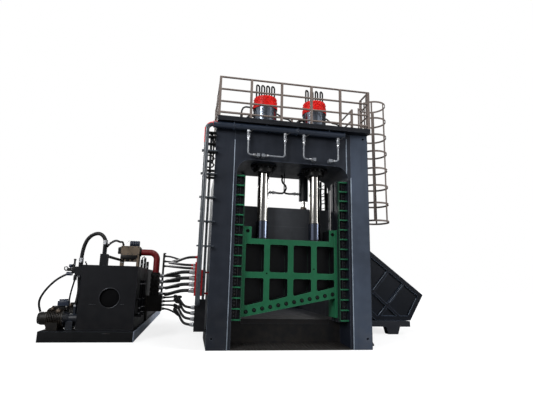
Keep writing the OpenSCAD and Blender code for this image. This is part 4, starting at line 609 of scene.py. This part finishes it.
hose("suction_hose", [(-5.48, 0.97, 1.648), (-5.455, 0.98, 1.3), (-5.465, 0.97, 1.05),
                      (-5.485, 0.95, 0.832)], DOWN, DOWN, 0.042, 17, None)
hose("drain_hose", [(-5.555, 0.88, 1.648), (-5.61, 0.9, 1.3), (-5.65, 0.93, 1.0),
                    (-5.655, 0.95, 0.718)], DOWN, DOWN, 0.022, 17, None)

# ---- Details of the gantry that stay with the scene
# Light strips down the columns' front edges: painted highlights where the edges catch the light.
with Piece("column_edge_highlights", "cut") as p:
    p.bead((-1.58, FACE_Y, 0.01), (-1.58, FACE_Y, 5.2), 0.012)
    p.bead((1.58, FACE_Y, 0.01), (1.58, FACE_Y, 4.4), 0.013)
    p.bead((1.46, FACE_Y, 4.5), (1.46, FACE_Y, 5.48), 0.013)
with Piece("column_seams", "slate") as p:
    for x in (-2.07, 2.07):
        p.bead((x, -0.948, 0.02), (x, -0.948, 5.5), 0.007)
    p.bead((-1.2, FACE_Y, 4.69), (1.2, FACE_Y, 4.69), 0.009)
with Piece("header_collars", "header") as p:
    for x in (-1.64, 0.03):
        for half, r in ((0.035, 0.1), (0.012, 0.112)):
            p.bar((x - half, HEADER_Y, HEADER_Z), (x + half, HEADER_Y, HEADER_Z), r, 36)
with Piece("pipe_fittings", "fitting") as p:
    for x, port in zip(VALVE_X, PORT_X):
        p.nut((x, HEADER_Y, 5.446), (x, HEADER_Y, 5.4), 0.055)
        p.nut((x, HEADER_Y, 5.29), (x, HEADER_Y, 5.252), 0.05)
        p.bar((x, HEADER_Y, 5.252), (x, HEADER_Y, 5.2), 0.032)
        p.nut((x, HEADER_Y, 5.2), (x, HEADER_Y, 5.17), 0.036)
        p.bar((x, -1.11, VALVE_Z), (x, -1.145, VALVE_Z), 0.02)
        nut_x, bar_x, end_x = [port - math.copysign(d, port - x) for d in (0.1, 0.135, 0.045)]
        p.nut((nut_x, HEADER_Y, PORT_Z), (end_x, HEADER_Y, PORT_Z), 0.038)
        p.bar((bar_x, HEADER_Y, PORT_Z), (nut_x, HEADER_Y, PORT_Z), 0.03)
with Piece("valve_levers", "gland") as p:
    for x in VALVE_X:
        p.tube([(x, -1.15, VALVE_Z), (x + 0.03, -1.155, 5.36), (x + 0.1, -1.155, 5.43),
                (x + 0.14, -1.15, 5.45)], 0.01, 8)
with Piece("red_pipe_marks", "red") as p:
    p.bar((-2.17, HEADER_Y, 5.538), (-2.06, HEADER_Y, 5.538), 0.076, 32, 0.05)
    p.tube([(-2.16, HEADER_Y, 5.54), (-2.2, HEADER_Y, 5.536), (-2.25, HEADER_Y, 5.514),
            (-2.29, HEADER_Y, 5.478)], 0.053, 24)
    p.bar((-2.329, HEADER_Y, 5.02), (-2.329, HEADER_Y, 5.42), 0.05, 24, 0.05)
with Piece("riser_brackets", "gland") as p:
    for z in (5.3, 5.19, 5.0, 4.78, 4.3, 4.12):
        p.box((-2.29, -1.1, z - 0.012), (-2.068, -0.93, z + 0.012))
    for z in (4.62, 4.45):
        p.tube([(-2.27, -1.05, z + 0.07), (-2.2, -1.05, z + 0.075), (-2.13, -1.04, z + 0.05),
                (-2.1, -1.03, z), (-2.13, -1.04, z - 0.05), (-2.2, -1.05, z - 0.075),
                (-2.27, -1.05, z - 0.07)], 0.02)
    p.tube([(-2.19, -1.0, 5.3), (-2.15, -0.99, 5.2), (-2.13, -0.98, 5.0), (-2.12, -0.97, 4.8),
            (-2.14, -0.98, 4.5)], 0.022)
with Piece("deck_pipes", "gland") as p:
    p.tube([(-1.42, -0.6, 5.741), (-1.42, -0.6, 5.9), (-1.419, -0.6, 6.05),
            (-1.397, -0.59, 6.2), (-1.36, -0.57, 6.28), (-1.291, -0.54, 6.33),
            (-1.18, -0.48, 6.356), (-1.05, -0.42, 6.365)], 0.024)
    for x in (0, 1.44):
        p.tube([(x + dx, MAIN_Y, z) for dx, z in (
            (-0.4, 6.28), (-0.33, 6.25), (-0.258, 6.194), (-0.17, 6.15), (-0.06, 6.139),
            (0.02, 6.1), (0.05, 6.0), (0.055, 5.741))], 0.022)
with Piece("clamp_hoses", "gland") as p:
    p.tube([(-0.08, 0.2, 4.66), (-0.06, 0.18, 4.58), (-0.075, 0.17, 4.5), (-0.05, 0.165, 4.42),
            (0.03, 0.165, 4.34), (0.055, 0.17, 4.27), (0.03, 0.18, 4.2), (0.0, 0.2, 4.15),
            (-0.05, 0.2, 4.115), (-0.15, 0.2, 4.11), (-0.28, 0.2, CLAMP_HOSE_Z),
            (-0.42, 0.2, CLAMP_HOSE_Z)], 0.027)
    p.tube([(0.0, 0.2, 4.15), (0.06, 0.2, 4.118), (0.16, 0.2, 4.11), (0.28, 0.2, CLAMP_HOSE_Z),
            (0.42, 0.2, CLAMP_HOSE_Z)], 0.027)
with Piece("clamp_hose_fittings", "fitting") as p:
    for side in SIDES:
        for draw, near, far, r in ((p.nut, 0.3, 0.345, 0.046), (p.bar, 0.25, 0.3, 0.036),
                                   (p.nut, 0.385, 0.42, 0.042)):
            draw((side * near, CLAMP_Y, CLAMP_HOSE_Z), (side * far, CLAMP_Y, CLAMP_HOSE_Z), r)
with Piece("clamp_rod_ends", "bronze", "clamp") as p:
    for x in (-CLAMP_X, CLAMP_X):
        p.lathe((x, CLAMP_Y, 3.665), UP, [(0, 0.09), (0.008, 0.098), (0.035, 0.098),
                                          (0.042, 0.085), (0.068, 0.08)], 32)
        for dx, dy in around(6, 0.135, 0):
            p.bolt((x + dx, CLAMP_Y + dy, 3.62), UP, 0.014, 0.02)
with Piece("gland_bolts", "dark_steel") as p:
    for x in (-MAIN_X, MAIN_X):
        for dx, dy in around(16, 0.315):
            p.bolt((x + dx, MAIN_Y + dy, 4.64), DOWN, 0.022, 0.034)
        p.ring((x, MAIN_Y, 4.5), UP, 0.2, 0.012)
with Piece("barrel_foot_bolts", "dark_steel") as p:
    for x in (-MAIN_X, MAIN_X):
        for dx, dy in around(20, 0.37):
            p.bolt((x + dx, MAIN_Y + dy, 5.82), UP, 0.02, 0.03)
with Piece("guide_bay_bolts", "dark_steel") as p:
    for side in SIDES:
        for i in range(14):
            z = 0.683 + 0.257 * (i + 0.5)  # the middle of a bay between two ribs
            for dz in (0.045, -0.045):
                p.bolt((side * 1.43, -0.75, z + dz), FRONT, 0.019, 0.028)
            p.box((side * 1.37 - 0.008, -0.78, z - 0.11), (side * 1.37 + 0.008, -0.745, z + 0.11),
                  0.003)

# ---- Details of the knife carriage, the clamp's sides and the tray
knife_bolts = []
for i in range(KNIFE_BOLTS):
    x = -KNIFE_BOLT_X + i * 2 * KNIFE_BOLT_X / (KNIFE_BOLTS - 1)
    knife_bolts.append((x, 0.84 + (x + 1.25) * 0.51 / 2.5))  # along the inclined edge
# Near-black rings round the knife bolts: painted shade of their seats.
with Piece("knife_bolt_shade_rings", "pit", "carriage") as p:
    for x, z in knife_bolts:
        p.lathe((x, KNIFE_Y - 0.0005, z), FRONT,
                [(0, 0.05), (0.002, 0.051), (0.006, 0.047), (0.0062, 0.036)], 28)
with Piece("knife_bolts", "gland", "carriage") as p:
    for x, z in knife_bolts:
        p.nut((x, KNIFE_Y, z), (x, KNIFE_Y - 0.019, z), 0.0345)
        p.bar((x, KNIFE_Y - 0.019, z), (x, KNIFE_Y - 0.024, z), 0.017, 16)
# Black discs on the carriage's face where its ears and small eyes have holes: painted shade.
with Piece("ear_eye_shade_discs", "pit", "carriage") as p:
    for x in (-1.135, 1.135):
        p.lathe((x, KNIFE_Y + 0.0005, 2.87), FRONT, [(0, 0.045), (0.003, 0.045), (0.004, 0.043)],
                32)
    for x, z in ((-0.62, 1.81), (0.62, 1.95)):
        p.lathe((x, KNIFE_Y + 0.0005, z), FRONT, [(0, 0.02), (0.003, 0.02), (0.004, 0.019)], 20)
with Piece("rod_sleeve_rings", "gland", "carriage") as p:
    for x in (-MAIN_X, MAIN_X):
        p.lathe((x, MAIN_Y, 3.16), UP, [(0, 0.1665), (0.004, 0.172), (0.03, 0.172),
                                        (0.034, 0.15)], 48)
        p.lathe((x, MAIN_Y, 2.7), UP, [(0, 0.1665), (0.004, 0.19), (0.022, 0.19),
                                       (0.026, 0.167)], 48)
# Rows of black discs on the wear plates for their holes: painted shade.
with Piece("wear_plate_hole_shades", "pit") as p:
    for side, inwards in zip(SIDES, (RIGHT, LEFT)):
        for i in range(8):
            for y in (-0.09, 0.11, 0.31):
                p.lathe((side * 1.4705, y, 3.2 + 0.14 * i), inwards,
                        [(0, 0.024), (0.001, 0.024), (0.0015, 0.02)], 20)
# Light strips along the tray's ribs: painted highlights on their edges.
with Piece("tray_rib_highlights", "cut", "tray") as p:
    for x0, z0, x1, z1 in ((4.167, 2.042, 3.671, 1.432), (4.766, 1.6, 4.253, 1.013),
                           (4.05, 0.822, 3.838, 0.602), (5.249, 1.167, 4.945, 0.621)):
        p.bead((x0, 2.351, z0), (x1, 2.351, z1), 0.0065, 0.6)

# ---- Pipes behind the crosshead
with Piece("rear_conduit", "gland") as p:
    p.tube([(1.3, 0.8, 4.69), (1.29, 0.8, 4.4), (1.3, 0.8, 4.0), (1.29, 0.8, 3.7),
            (1.34, 0.82, 3.5), (1.5, 0.83, 3.45)], 0.035)
    p.tube([(1.45, 0.8, 4.69), (1.44, 0.8, 4.3), (1.455, 0.8, 3.9), (1.45, 0.8, 3.5),
            (1.5, 0.82, 3.4)], 0.028)
    for i in range(9):
        z = 3.62 + 0.118 * i + 0.02 * math.sin(5 * i)
        p.tube([(1.3, 0.79, z), (1.35, 0.77, z + 0.03 * math.sin(3 * i)), (1.4, 0.77, z + 0.02),
                (1.5, 0.79, z + 0.035)], 0.011 + 0.004 * (i % 2), 8)
    p.box((1.46, 0.77, 3.4), (1.5, 0.85, 4.66), 0.006)
    p.tube([(-1.5, 0.5, 4.5), (-1.4, 0.5, 4.52), (-1.3, 0.49, 4.47), (-1.22, 0.48, 4.5),
            (-1.17, 0.48, 4.6), (-1.16, 0.48, 4.69)], 0.03)
    p.tube([(-1.5, 0.52, 4.42), (-1.38, 0.51, 4.4), (-1.28, 0.5, 4.44), (-1.2, 0.5, 4.56),
            (-1.19, 0.5, 4.69)], 0.02)
with Piece("rear_conduit_fittings", "fitting") as p:
    p.nut((-1.33, 0.49, 4.48), (-1.29, 0.488, 4.47), 0.045)
    p.nut((-1.4, 0.51, 4.402), (-1.37, 0.51, 4.405), 0.034)
    p.nut((1.298, 0.8, 4.5), (1.296, 0.8, 4.46), 0.048)

# ---- Details of the power station
manhole_x, manhole_z = MANHOLE
# A black disc at the bottom of the manhole's recess: painted shade of the open hole.
with Piece("manhole_shade_disc", "pit") as p:
    p.lathe((manhole_x, 0.7005, manhole_z), FRONT, [(0, 0.249), (0.004, 0.249), (0.005, 0.247)],
            64)
with Piece("manhole_lip", "dark_steel") as p:
    p.ring((manhole_x, 0.641, manhole_z), REAR, MANHOLE_R, 0.005, 64)
    for dx, dz in around(16, MANHOLE_R):
        p.bar((manhole_x + dx, 0.643, manhole_z + dz), (manhole_x + dx, 0.634, manhole_z + dz),
              0.009, 10)
with Piece("tank_marks", "dark_steel") as p:
    p.box((-5.08, 0.646, 0.906), (-4.91, 0.652, 0.918), 0.002)
    p.box((-4.305, 0.646, 0.914), (-4.2, 0.652, 0.926), 0.002)
    p.box((-4.64, 0.366, 0.205), (-4.44, 0.372, 0.216), 0.002)
with Piece("tank_seams", "black") as p:
    for x in (TANK_LEFT, TANK_RIGHT):
        p.bead((x, TANK_Y, 0.27), (x, TANK_Y, 1.92), 0.008)
    for z, r in ((1.925, 0.008), (0.266, 0.01)):
        p.bead((TANK_LEFT, TANK_Y, z), (TANK_RIGHT, TANK_Y, z), r)
    p.box((-5.352, 0.645, 1.9), (-3.928, 0.655, 1.93), 0.003)
with Piece("tank_lever", "gland") as p:
    p.tube([(-5.31, 0.9, 1.93), (-5.31, 0.9, 1.965), (-5.335, 0.9, 1.99), (-5.345, 0.9, 2.03)],
           0.017)
    p.bar((-5.31, 0.9, 1.928), (-5.31, 0.9, 1.945), 0.032)
with Piece("station_ferrules", "fitting") as p:
    for i in range(4):
        z, low = 1.126 + 0.198 * i, 0.64 + 0.122 * i
        p.nut((-3.539, BLOCK_Y, z), (-3.475, BLOCK_Y, z), 0.068)
        p.lathe((-3.475, BLOCK_Y, z), RIGHT, [(0, 0.05), (0.003, 0.0535), (0.063, 0.0535),
                                              (0.066, 0.045)], 28)
        p.nut((-3.419, BLOCK_Y, low), (-3.37, BLOCK_Y, low), 0.052)
    for z in (2.39, 2.21, 2.05):
        p.nut((-3.425, 3.575, z), (-3.397, 3.575, z), 0.042)
    for i in range(4):
        z, low = 1.355 + 0.145 * i, 0.566 + 0.131 * i
        p.nut((-2.47, MANIFOLD_Y, z), (-2.411, MANIFOLD_Y, z), 0.066)
        p.lathe((-2.5405, MANIFOLD_Y, z), RIGHT, [(0, 0.045), (0.003, 0.0535), (0.067, 0.0535),
                                                  (0.07, 0.05)], 28)
        p.nut((-2.42, MANIFOLD_Y, low), (-2.371, MANIFOLD_Y, low), 0.053)
        p.lathe((-2.461, MANIFOLD_Y, low), RIGHT, [(0, 0.033), (0.003, 0.0415), (0.038, 0.0415),
                                                   (0.04, 0.035)])
    for z in (1.88, 1.955):
        p.nut((-2.46, MANIFOLD_Y, z), (-2.412, MANIFOLD_Y, z), 0.037)
with Piece("arch_fittings", "fitting") as p:
    p.nut((-4.87, 0.85, 2.5), (-4.87, 0.85, 2.545), 0.07)
    p.lathe((-4.87, 0.85, 2.545), UP, [(0, 0.056), (0.004, 0.06), (0.07, 0.06), (0.076, 0.052)],
            32)
    p.nut((-5.47, 0.95, 1.99), (-5.47, 0.95, 2.032), 0.07)
    p.lathe((-5.47, 0.95, 2.032), UP, [(0, 0.056), (0.004, 0.06), (0.09, 0.06), (0.096, 0.052)],
            32)
    p.nut((-5.48, 0.97, 1.6), (-5.48, 0.97, 1.652), 0.058)
    p.nut((-5.485, 0.95, 0.83), (-5.485, 0.95, 0.88), 0.058)
with Piece("corner_valves", "gland") as p:
    p.box((-5.66, 0.85, 1.7), (-5.565, 0.99, 1.88), 0.01)
    p.bar((-5.78, 0.9, 1.8), (-5.655, 0.9, 1.8), 0.045)
    p.bar((-5.72, 0.9, 1.86), (-5.62, 0.9, 1.94), 0.03)
    p.tube([(-5.76, 0.9, 1.83), (-5.8, 0.9, 1.87), (-5.86, 0.9, 1.86), (-5.85, 0.9, 1.8),
            (-5.8, 0.9, 1.76)], 0.014)
    p.bar((-5.62, 0.92, 1.88), (-5.62, 0.92, 2.05), 0.025)
    p.nut((-5.62, 0.92, 2.05), (-5.62, 0.92, 2.09), 0.038)
    p.box((-5.6, 0.86, 1.52), (-5.53, 0.96, 1.66), 0.01)
with Piece("corner_coils", "coil") as p:
    p.bar((-5.79, 0.9, 1.69), (-5.66, 0.9, 1.69), 0.05)
    p.bar((-5.74, 0.88, 1.9), (-5.67, 0.88, 1.9), 0.04)
    p.box((-5.9, 0.8, 0.85), (-5.63, 0.99, 0.99), 0.02)
    p.box((-5.87, 0.83, 0.988), (-5.68, 0.96, 1.03), 0.012)
with Piece("corner_fittings", "fitting") as p:
    p.nut((-5.665, 0.9, 1.8), (-5.64, 0.9, 1.8), 0.052)
    p.nut((-5.67, 0.9, 1.69), (-5.64, 0.9, 1.69), 0.05)
    p.nut((-5.62, 0.92, 1.92), (-5.62, 0.92, 1.95), 0.034)
    p.nut((-5.8, 0.9, 1.8), (-5.775, 0.9, 1.8), 0.03)
with Piece("motor_fins", "motor") as p:
    for y in PUMP_Y:
        for i in range(9):
            p.lathe((-6.11 + 0.04 * i, y, PUMP_Z), RIGHT, [(0, 0.25), (0.002, 0.262),
                                                           (0.012, 0.262), (0.014, 0.25)], 40)
        p.ring((-6.355, y, PUMP_Z), RIGHT, 0.125, 0.006, 40)
        p.ring((-6.355, y, PUMP_Z), RIGHT, 0.09, 0.005, 40)
with Piece("motor_bolts", "dark_steel") as p:
    for y in PUMP_Y:
        for dy, dz in around(12, 0.235):
            p.bolt((-5.72, y + dy, PUMP_Z + dz), RIGHT, 0.018, 0.026)
with Piece("motor_caps", "bronze") as p:
    for y in PUMP_Y:
        p.lathe((-5.98, y - 0.12, 0.77), (-0.32, -0.23, 0.03),
                [(0, 0.05), (0.01, 0.055), (0.05, 0.055), (0.07, 0.035)], 28)
        p.lathe((-5.84, y - 0.17, 0.72), (0, -0.43, 0.08),
                [(0, 0.07), (0.02, 0.07), (0.05, 0.05), (0.07, 0.02)], 28)
with Piece("motor_box_stem", "gland") as p:
    p.box((-5.86, 0.86, 0.7), (-5.72, 0.96, 0.86), 0.01)
with Piece("side_pipe_flanges", "fitting") as p:
    for y, r in ((1.05, 0.026), (1.7, 0.052)):
        for z in (0.66, 0.8, 1.03, 1.45):
            p.lathe((-3.855, y, z), UP, [(0, r + 0.006), (0.004, r + 0.02), (0.022, r + 0.02),
                                         (0.026, r + 0.006)], 28)
with Piece("block_knobs", "gland") as p:
    for z in (2.47, 2.57):
        p.lathe((-4.855, 3.46, z), LEFT, [(0, 0.055), (0.01, 0.06), (0.04, 0.06), (0.045, 0.05),
                                          (0.06, 0.05), (0.064, 0.066), (0.105, 0.066),
                                          (0.115, 0.055)], 28)
    p.box((-4.9, 3.3, 2.4), (-4.849, 3.62, 2.64), 0.01)
    p.box((-4.7, 3.24, 2.28), (-4.3, 3.252, 2.37), 0.006)
with Piece("block_coils", "coil") as p:
    for i in range(4):
        x = -4.555 + i * 0.0767
        p.lathe((x, 3.39, 2.669), UP, [(0, 0.044), (0.01, 0.05), (0.15, 0.05), (0.16, 0.042),
                                       (0.176, 0.042), (0.18, 0.03), (0.186, 0.028)])
        p.box((x - 0.028, 3.32, 2.72), (x + 0.028, 3.345, 2.79), 0.006)
with Piece("block_under_valves", "gland") as p:
    p.box((-4.84, 3.235, 2.235), (-4.36, 3.6, 2.372), 0.012)
    for x, z, r in ((-4.78, 2.12, 0.05), (-4.62, 2.15, 0.06), (-4.47, 2.17, 0.045)):
        p.bar((x, 3.3, 2.24), (x, 3.3, z), r)
    for x, h in ((-4.16, 0.3), (-4.06, 0.36), (-3.97, 0.24)):
        p.box((x - 0.035, 3.3, 1.928), (x + 0.035, 3.44, 1.93 + h), 0.01)
        p.bar((x, 3.31, 1.93 + h * 0.6), (x, 3.25, 1.93 + h * 0.6), 0.028)
    p.tube([(-4.16, 3.37, 2.22), (-4.15, 3.37, 2.3), (-4.1, 3.37, 2.34), (-4.06, 3.37, 2.28)],
           0.018)
with Piece("tank_top_fittings", "fitting") as p:
    for x, z in ((-4.16, 2.18), (-4.06, 2.24), (-3.97, 2.1)):
        p.nut((x, 3.255, z - 0.1), (x, 3.22, z - 0.1), 0.034)
        p.nut((x, 3.37, z + 0.04), (x, 3.37, z + 0.075), 0.03)
    p.nut((-4.78, 3.3, 2.14), (-4.78, 3.3, 2.1), 0.062)
    p.tube([(-4.56, 3.38, 2.83), (-4.62, 3.37, 2.86), (-4.72, 3.36, 2.8), (-4.8, 3.36, 2.7)],
           0.008, 8)
with Piece("block_screws", "dark_steel") as p:
    for x in (-4.81, -4.62, -4.48, -4.3):
        for z in (2.41, 2.63):
            p.bolt((x, 3.25, z), FRONT, 0.013, 0.018)
with Piece("block_flange", "gland") as p:
    for at, axis in (((-4.262, BLOCK_Y, 2.485), RIGHT), ((-3.685, BLOCK_Y, 1.775), UP)):
        p.lathe(at, axis, [(0, 0.14), (0.004, 0.145), (0.05, 0.145), (0.055, 0.11)], 40)
with Piece("stack_fittings", "gland") as p:
    for i in range(5):
        z = 1.118 + 0.15 * i  # the middle of one valve of the stack
        p.bar((-3.75, 3.325, z), (-3.75, 3.285, z), 0.03)
        p.nut((-3.64, 3.325, z), (-3.64, 3.285, z), 0.034)
        p.bolt((-3.6, 3.32, z + 0.032), FRONT, 0.012, 0.016)
    p.bar((-3.44, 3.575, 2.46), (-3.44, 3.575, 2.5), 0.05)

# ---- Floor: to the eye pale with a soft shadow under the machine, and pure white further out.
# It throws little light back up.
FLOOR_SIZE = ((-90, -60), (90, -60), (90, 130), (-90, 130))
MACHINE_MIDDLE = (-0.5, 3.5, 0)
floor_mesh = bpy.data.meshes.new("floor")
floor_mesh.from_pydata([(x, y, 0) for x, y in FLOOR_SIZE], [], [(0, 1, 2, 3)])
floor = add_object("floor", floor_mesh)
floor.location.z = -0.004
s = Surface("floor")
seen = s.new("LightPath").outputs["Is Camera Ray"]
s.put(s.shader["Base Color"], s.mix(seen, (0.26, 0.26, 0.26, 1), (0.86, 0.86, 0.86, 1)))
s.shader["Roughness"].default_value = 0.9
s.shader["Specular IOR Level"].default_value = 0.1
glow = s.new("Emission")
glow.inputs["Strength"].default_value = 1.12
reach = s.new("VectorMath", operation="DISTANCE")
s.put(reach.inputs[0], s.place)
s.put(reach.inputs[1], MACHINE_MIDDLE)
share = s.times(seen, s.ramp(reach.outputs["Value"], 8, 15, 0.7))
s.put(s.tree.nodes["Material Output"].inputs["Surface"],
      s.mix_shader(share, s.tree.nodes["Principled BSDF"].outputs[0], glow.outputs[0]))
floor_mesh.materials.append(s.mat)

# ---- World: white to the eye and through glass, soft light on the machine
# Polished parts mirror a dim room with tall soft boxes: degrees round the machine, brightness
STUDIO = ((-180, 0.1), (-128, 0.07), (-104, 1.0), (-44, 1.0), (-18, 0.3), (12, 0.2), (24, 0.8),
          (52, 0.85), (70, 0.1), (125, 0.05), (142, 0.45), (165, 0.12))
world = bpy.data.worlds.new("studio")
bpy.context.scene.world = world
world.use_nodes = True
w = Nodes(world.node_tree)
soft = w.tree.nodes["Background"]
soft.inputs["Color"].default_value = (0.93, 0.96, 1, 1)
soft.inputs["Strength"].default_value = 0.5
white = w.new("Background")
white.inputs["Color"].default_value = (1, 1, 1, 1)
way = w.axes(w.new("TexCoord").outputs["Generated"])
turn = w.math("ARCTAN2", way[0], w.times(way[1], -1))
ramp = w.new("ValToRGB")
w.put(ramp.inputs[0], w.ramp(turn, -math.pi, math.pi))
stops = ramp.color_ramp.elements
for i, (angle, v) in enumerate(STUDIO):
    stop = stops.new((angle + 180) / 360) if i else stops[0]
    stop.position = (angle + 180) / 360
    stop.color = (v, v * 1.01, v * 1.03, 1)
stops.remove(stops[-1])
room = w.new("Background")
w.put(room.inputs["Color"], ramp.outputs[0])
ray = w.new("LightPath").outputs
lit = w.mix_shader(ray["Is Glossy Ray"], soft.outputs[0], room.outputs[0])
seen = w.math("MAXIMUM", ray["Is Camera Ray"], ray["Is Transmission Ray"])
w.put(w.tree.nodes["World Output"].inputs["Surface"],
      w.mix_shader(seen, lit, white.outputs[0]))

# ---- Lamps: name, place, aim, width and height, watts
for name, at, aim, size, power in (
        ("key", (-13, -13, 11), (-1, 0, 3), (6, 7), 2600),
        ("fill", (14, -8, 7), (0, 0, 2.5), (6, 5), 1300),
        ("top", (1, -4, 15), (0, 1, 3), (8, 6), 900),
        ("rear_left", (-15, 22, 11), (-2, 5, 1), (7, 6), 2200),
        ("rear_right", (14, 18, 10), (1, 5, 1), (7, 6), 2200)):
    lamp = bpy.data.lights.new(name, "AREA")
    lamp.shape = "RECTANGLE"
    lamp.size, lamp.size_y = size
    lamp.energy = power
    o = add_object(name, lamp)
    o.location = at
    o.rotation_euler = (Vector(aim) - Vector(at)).to_track_quat("-Z", "Y").to_euler()
bpy.context.scene.view_settings.view_transform = "Standard"
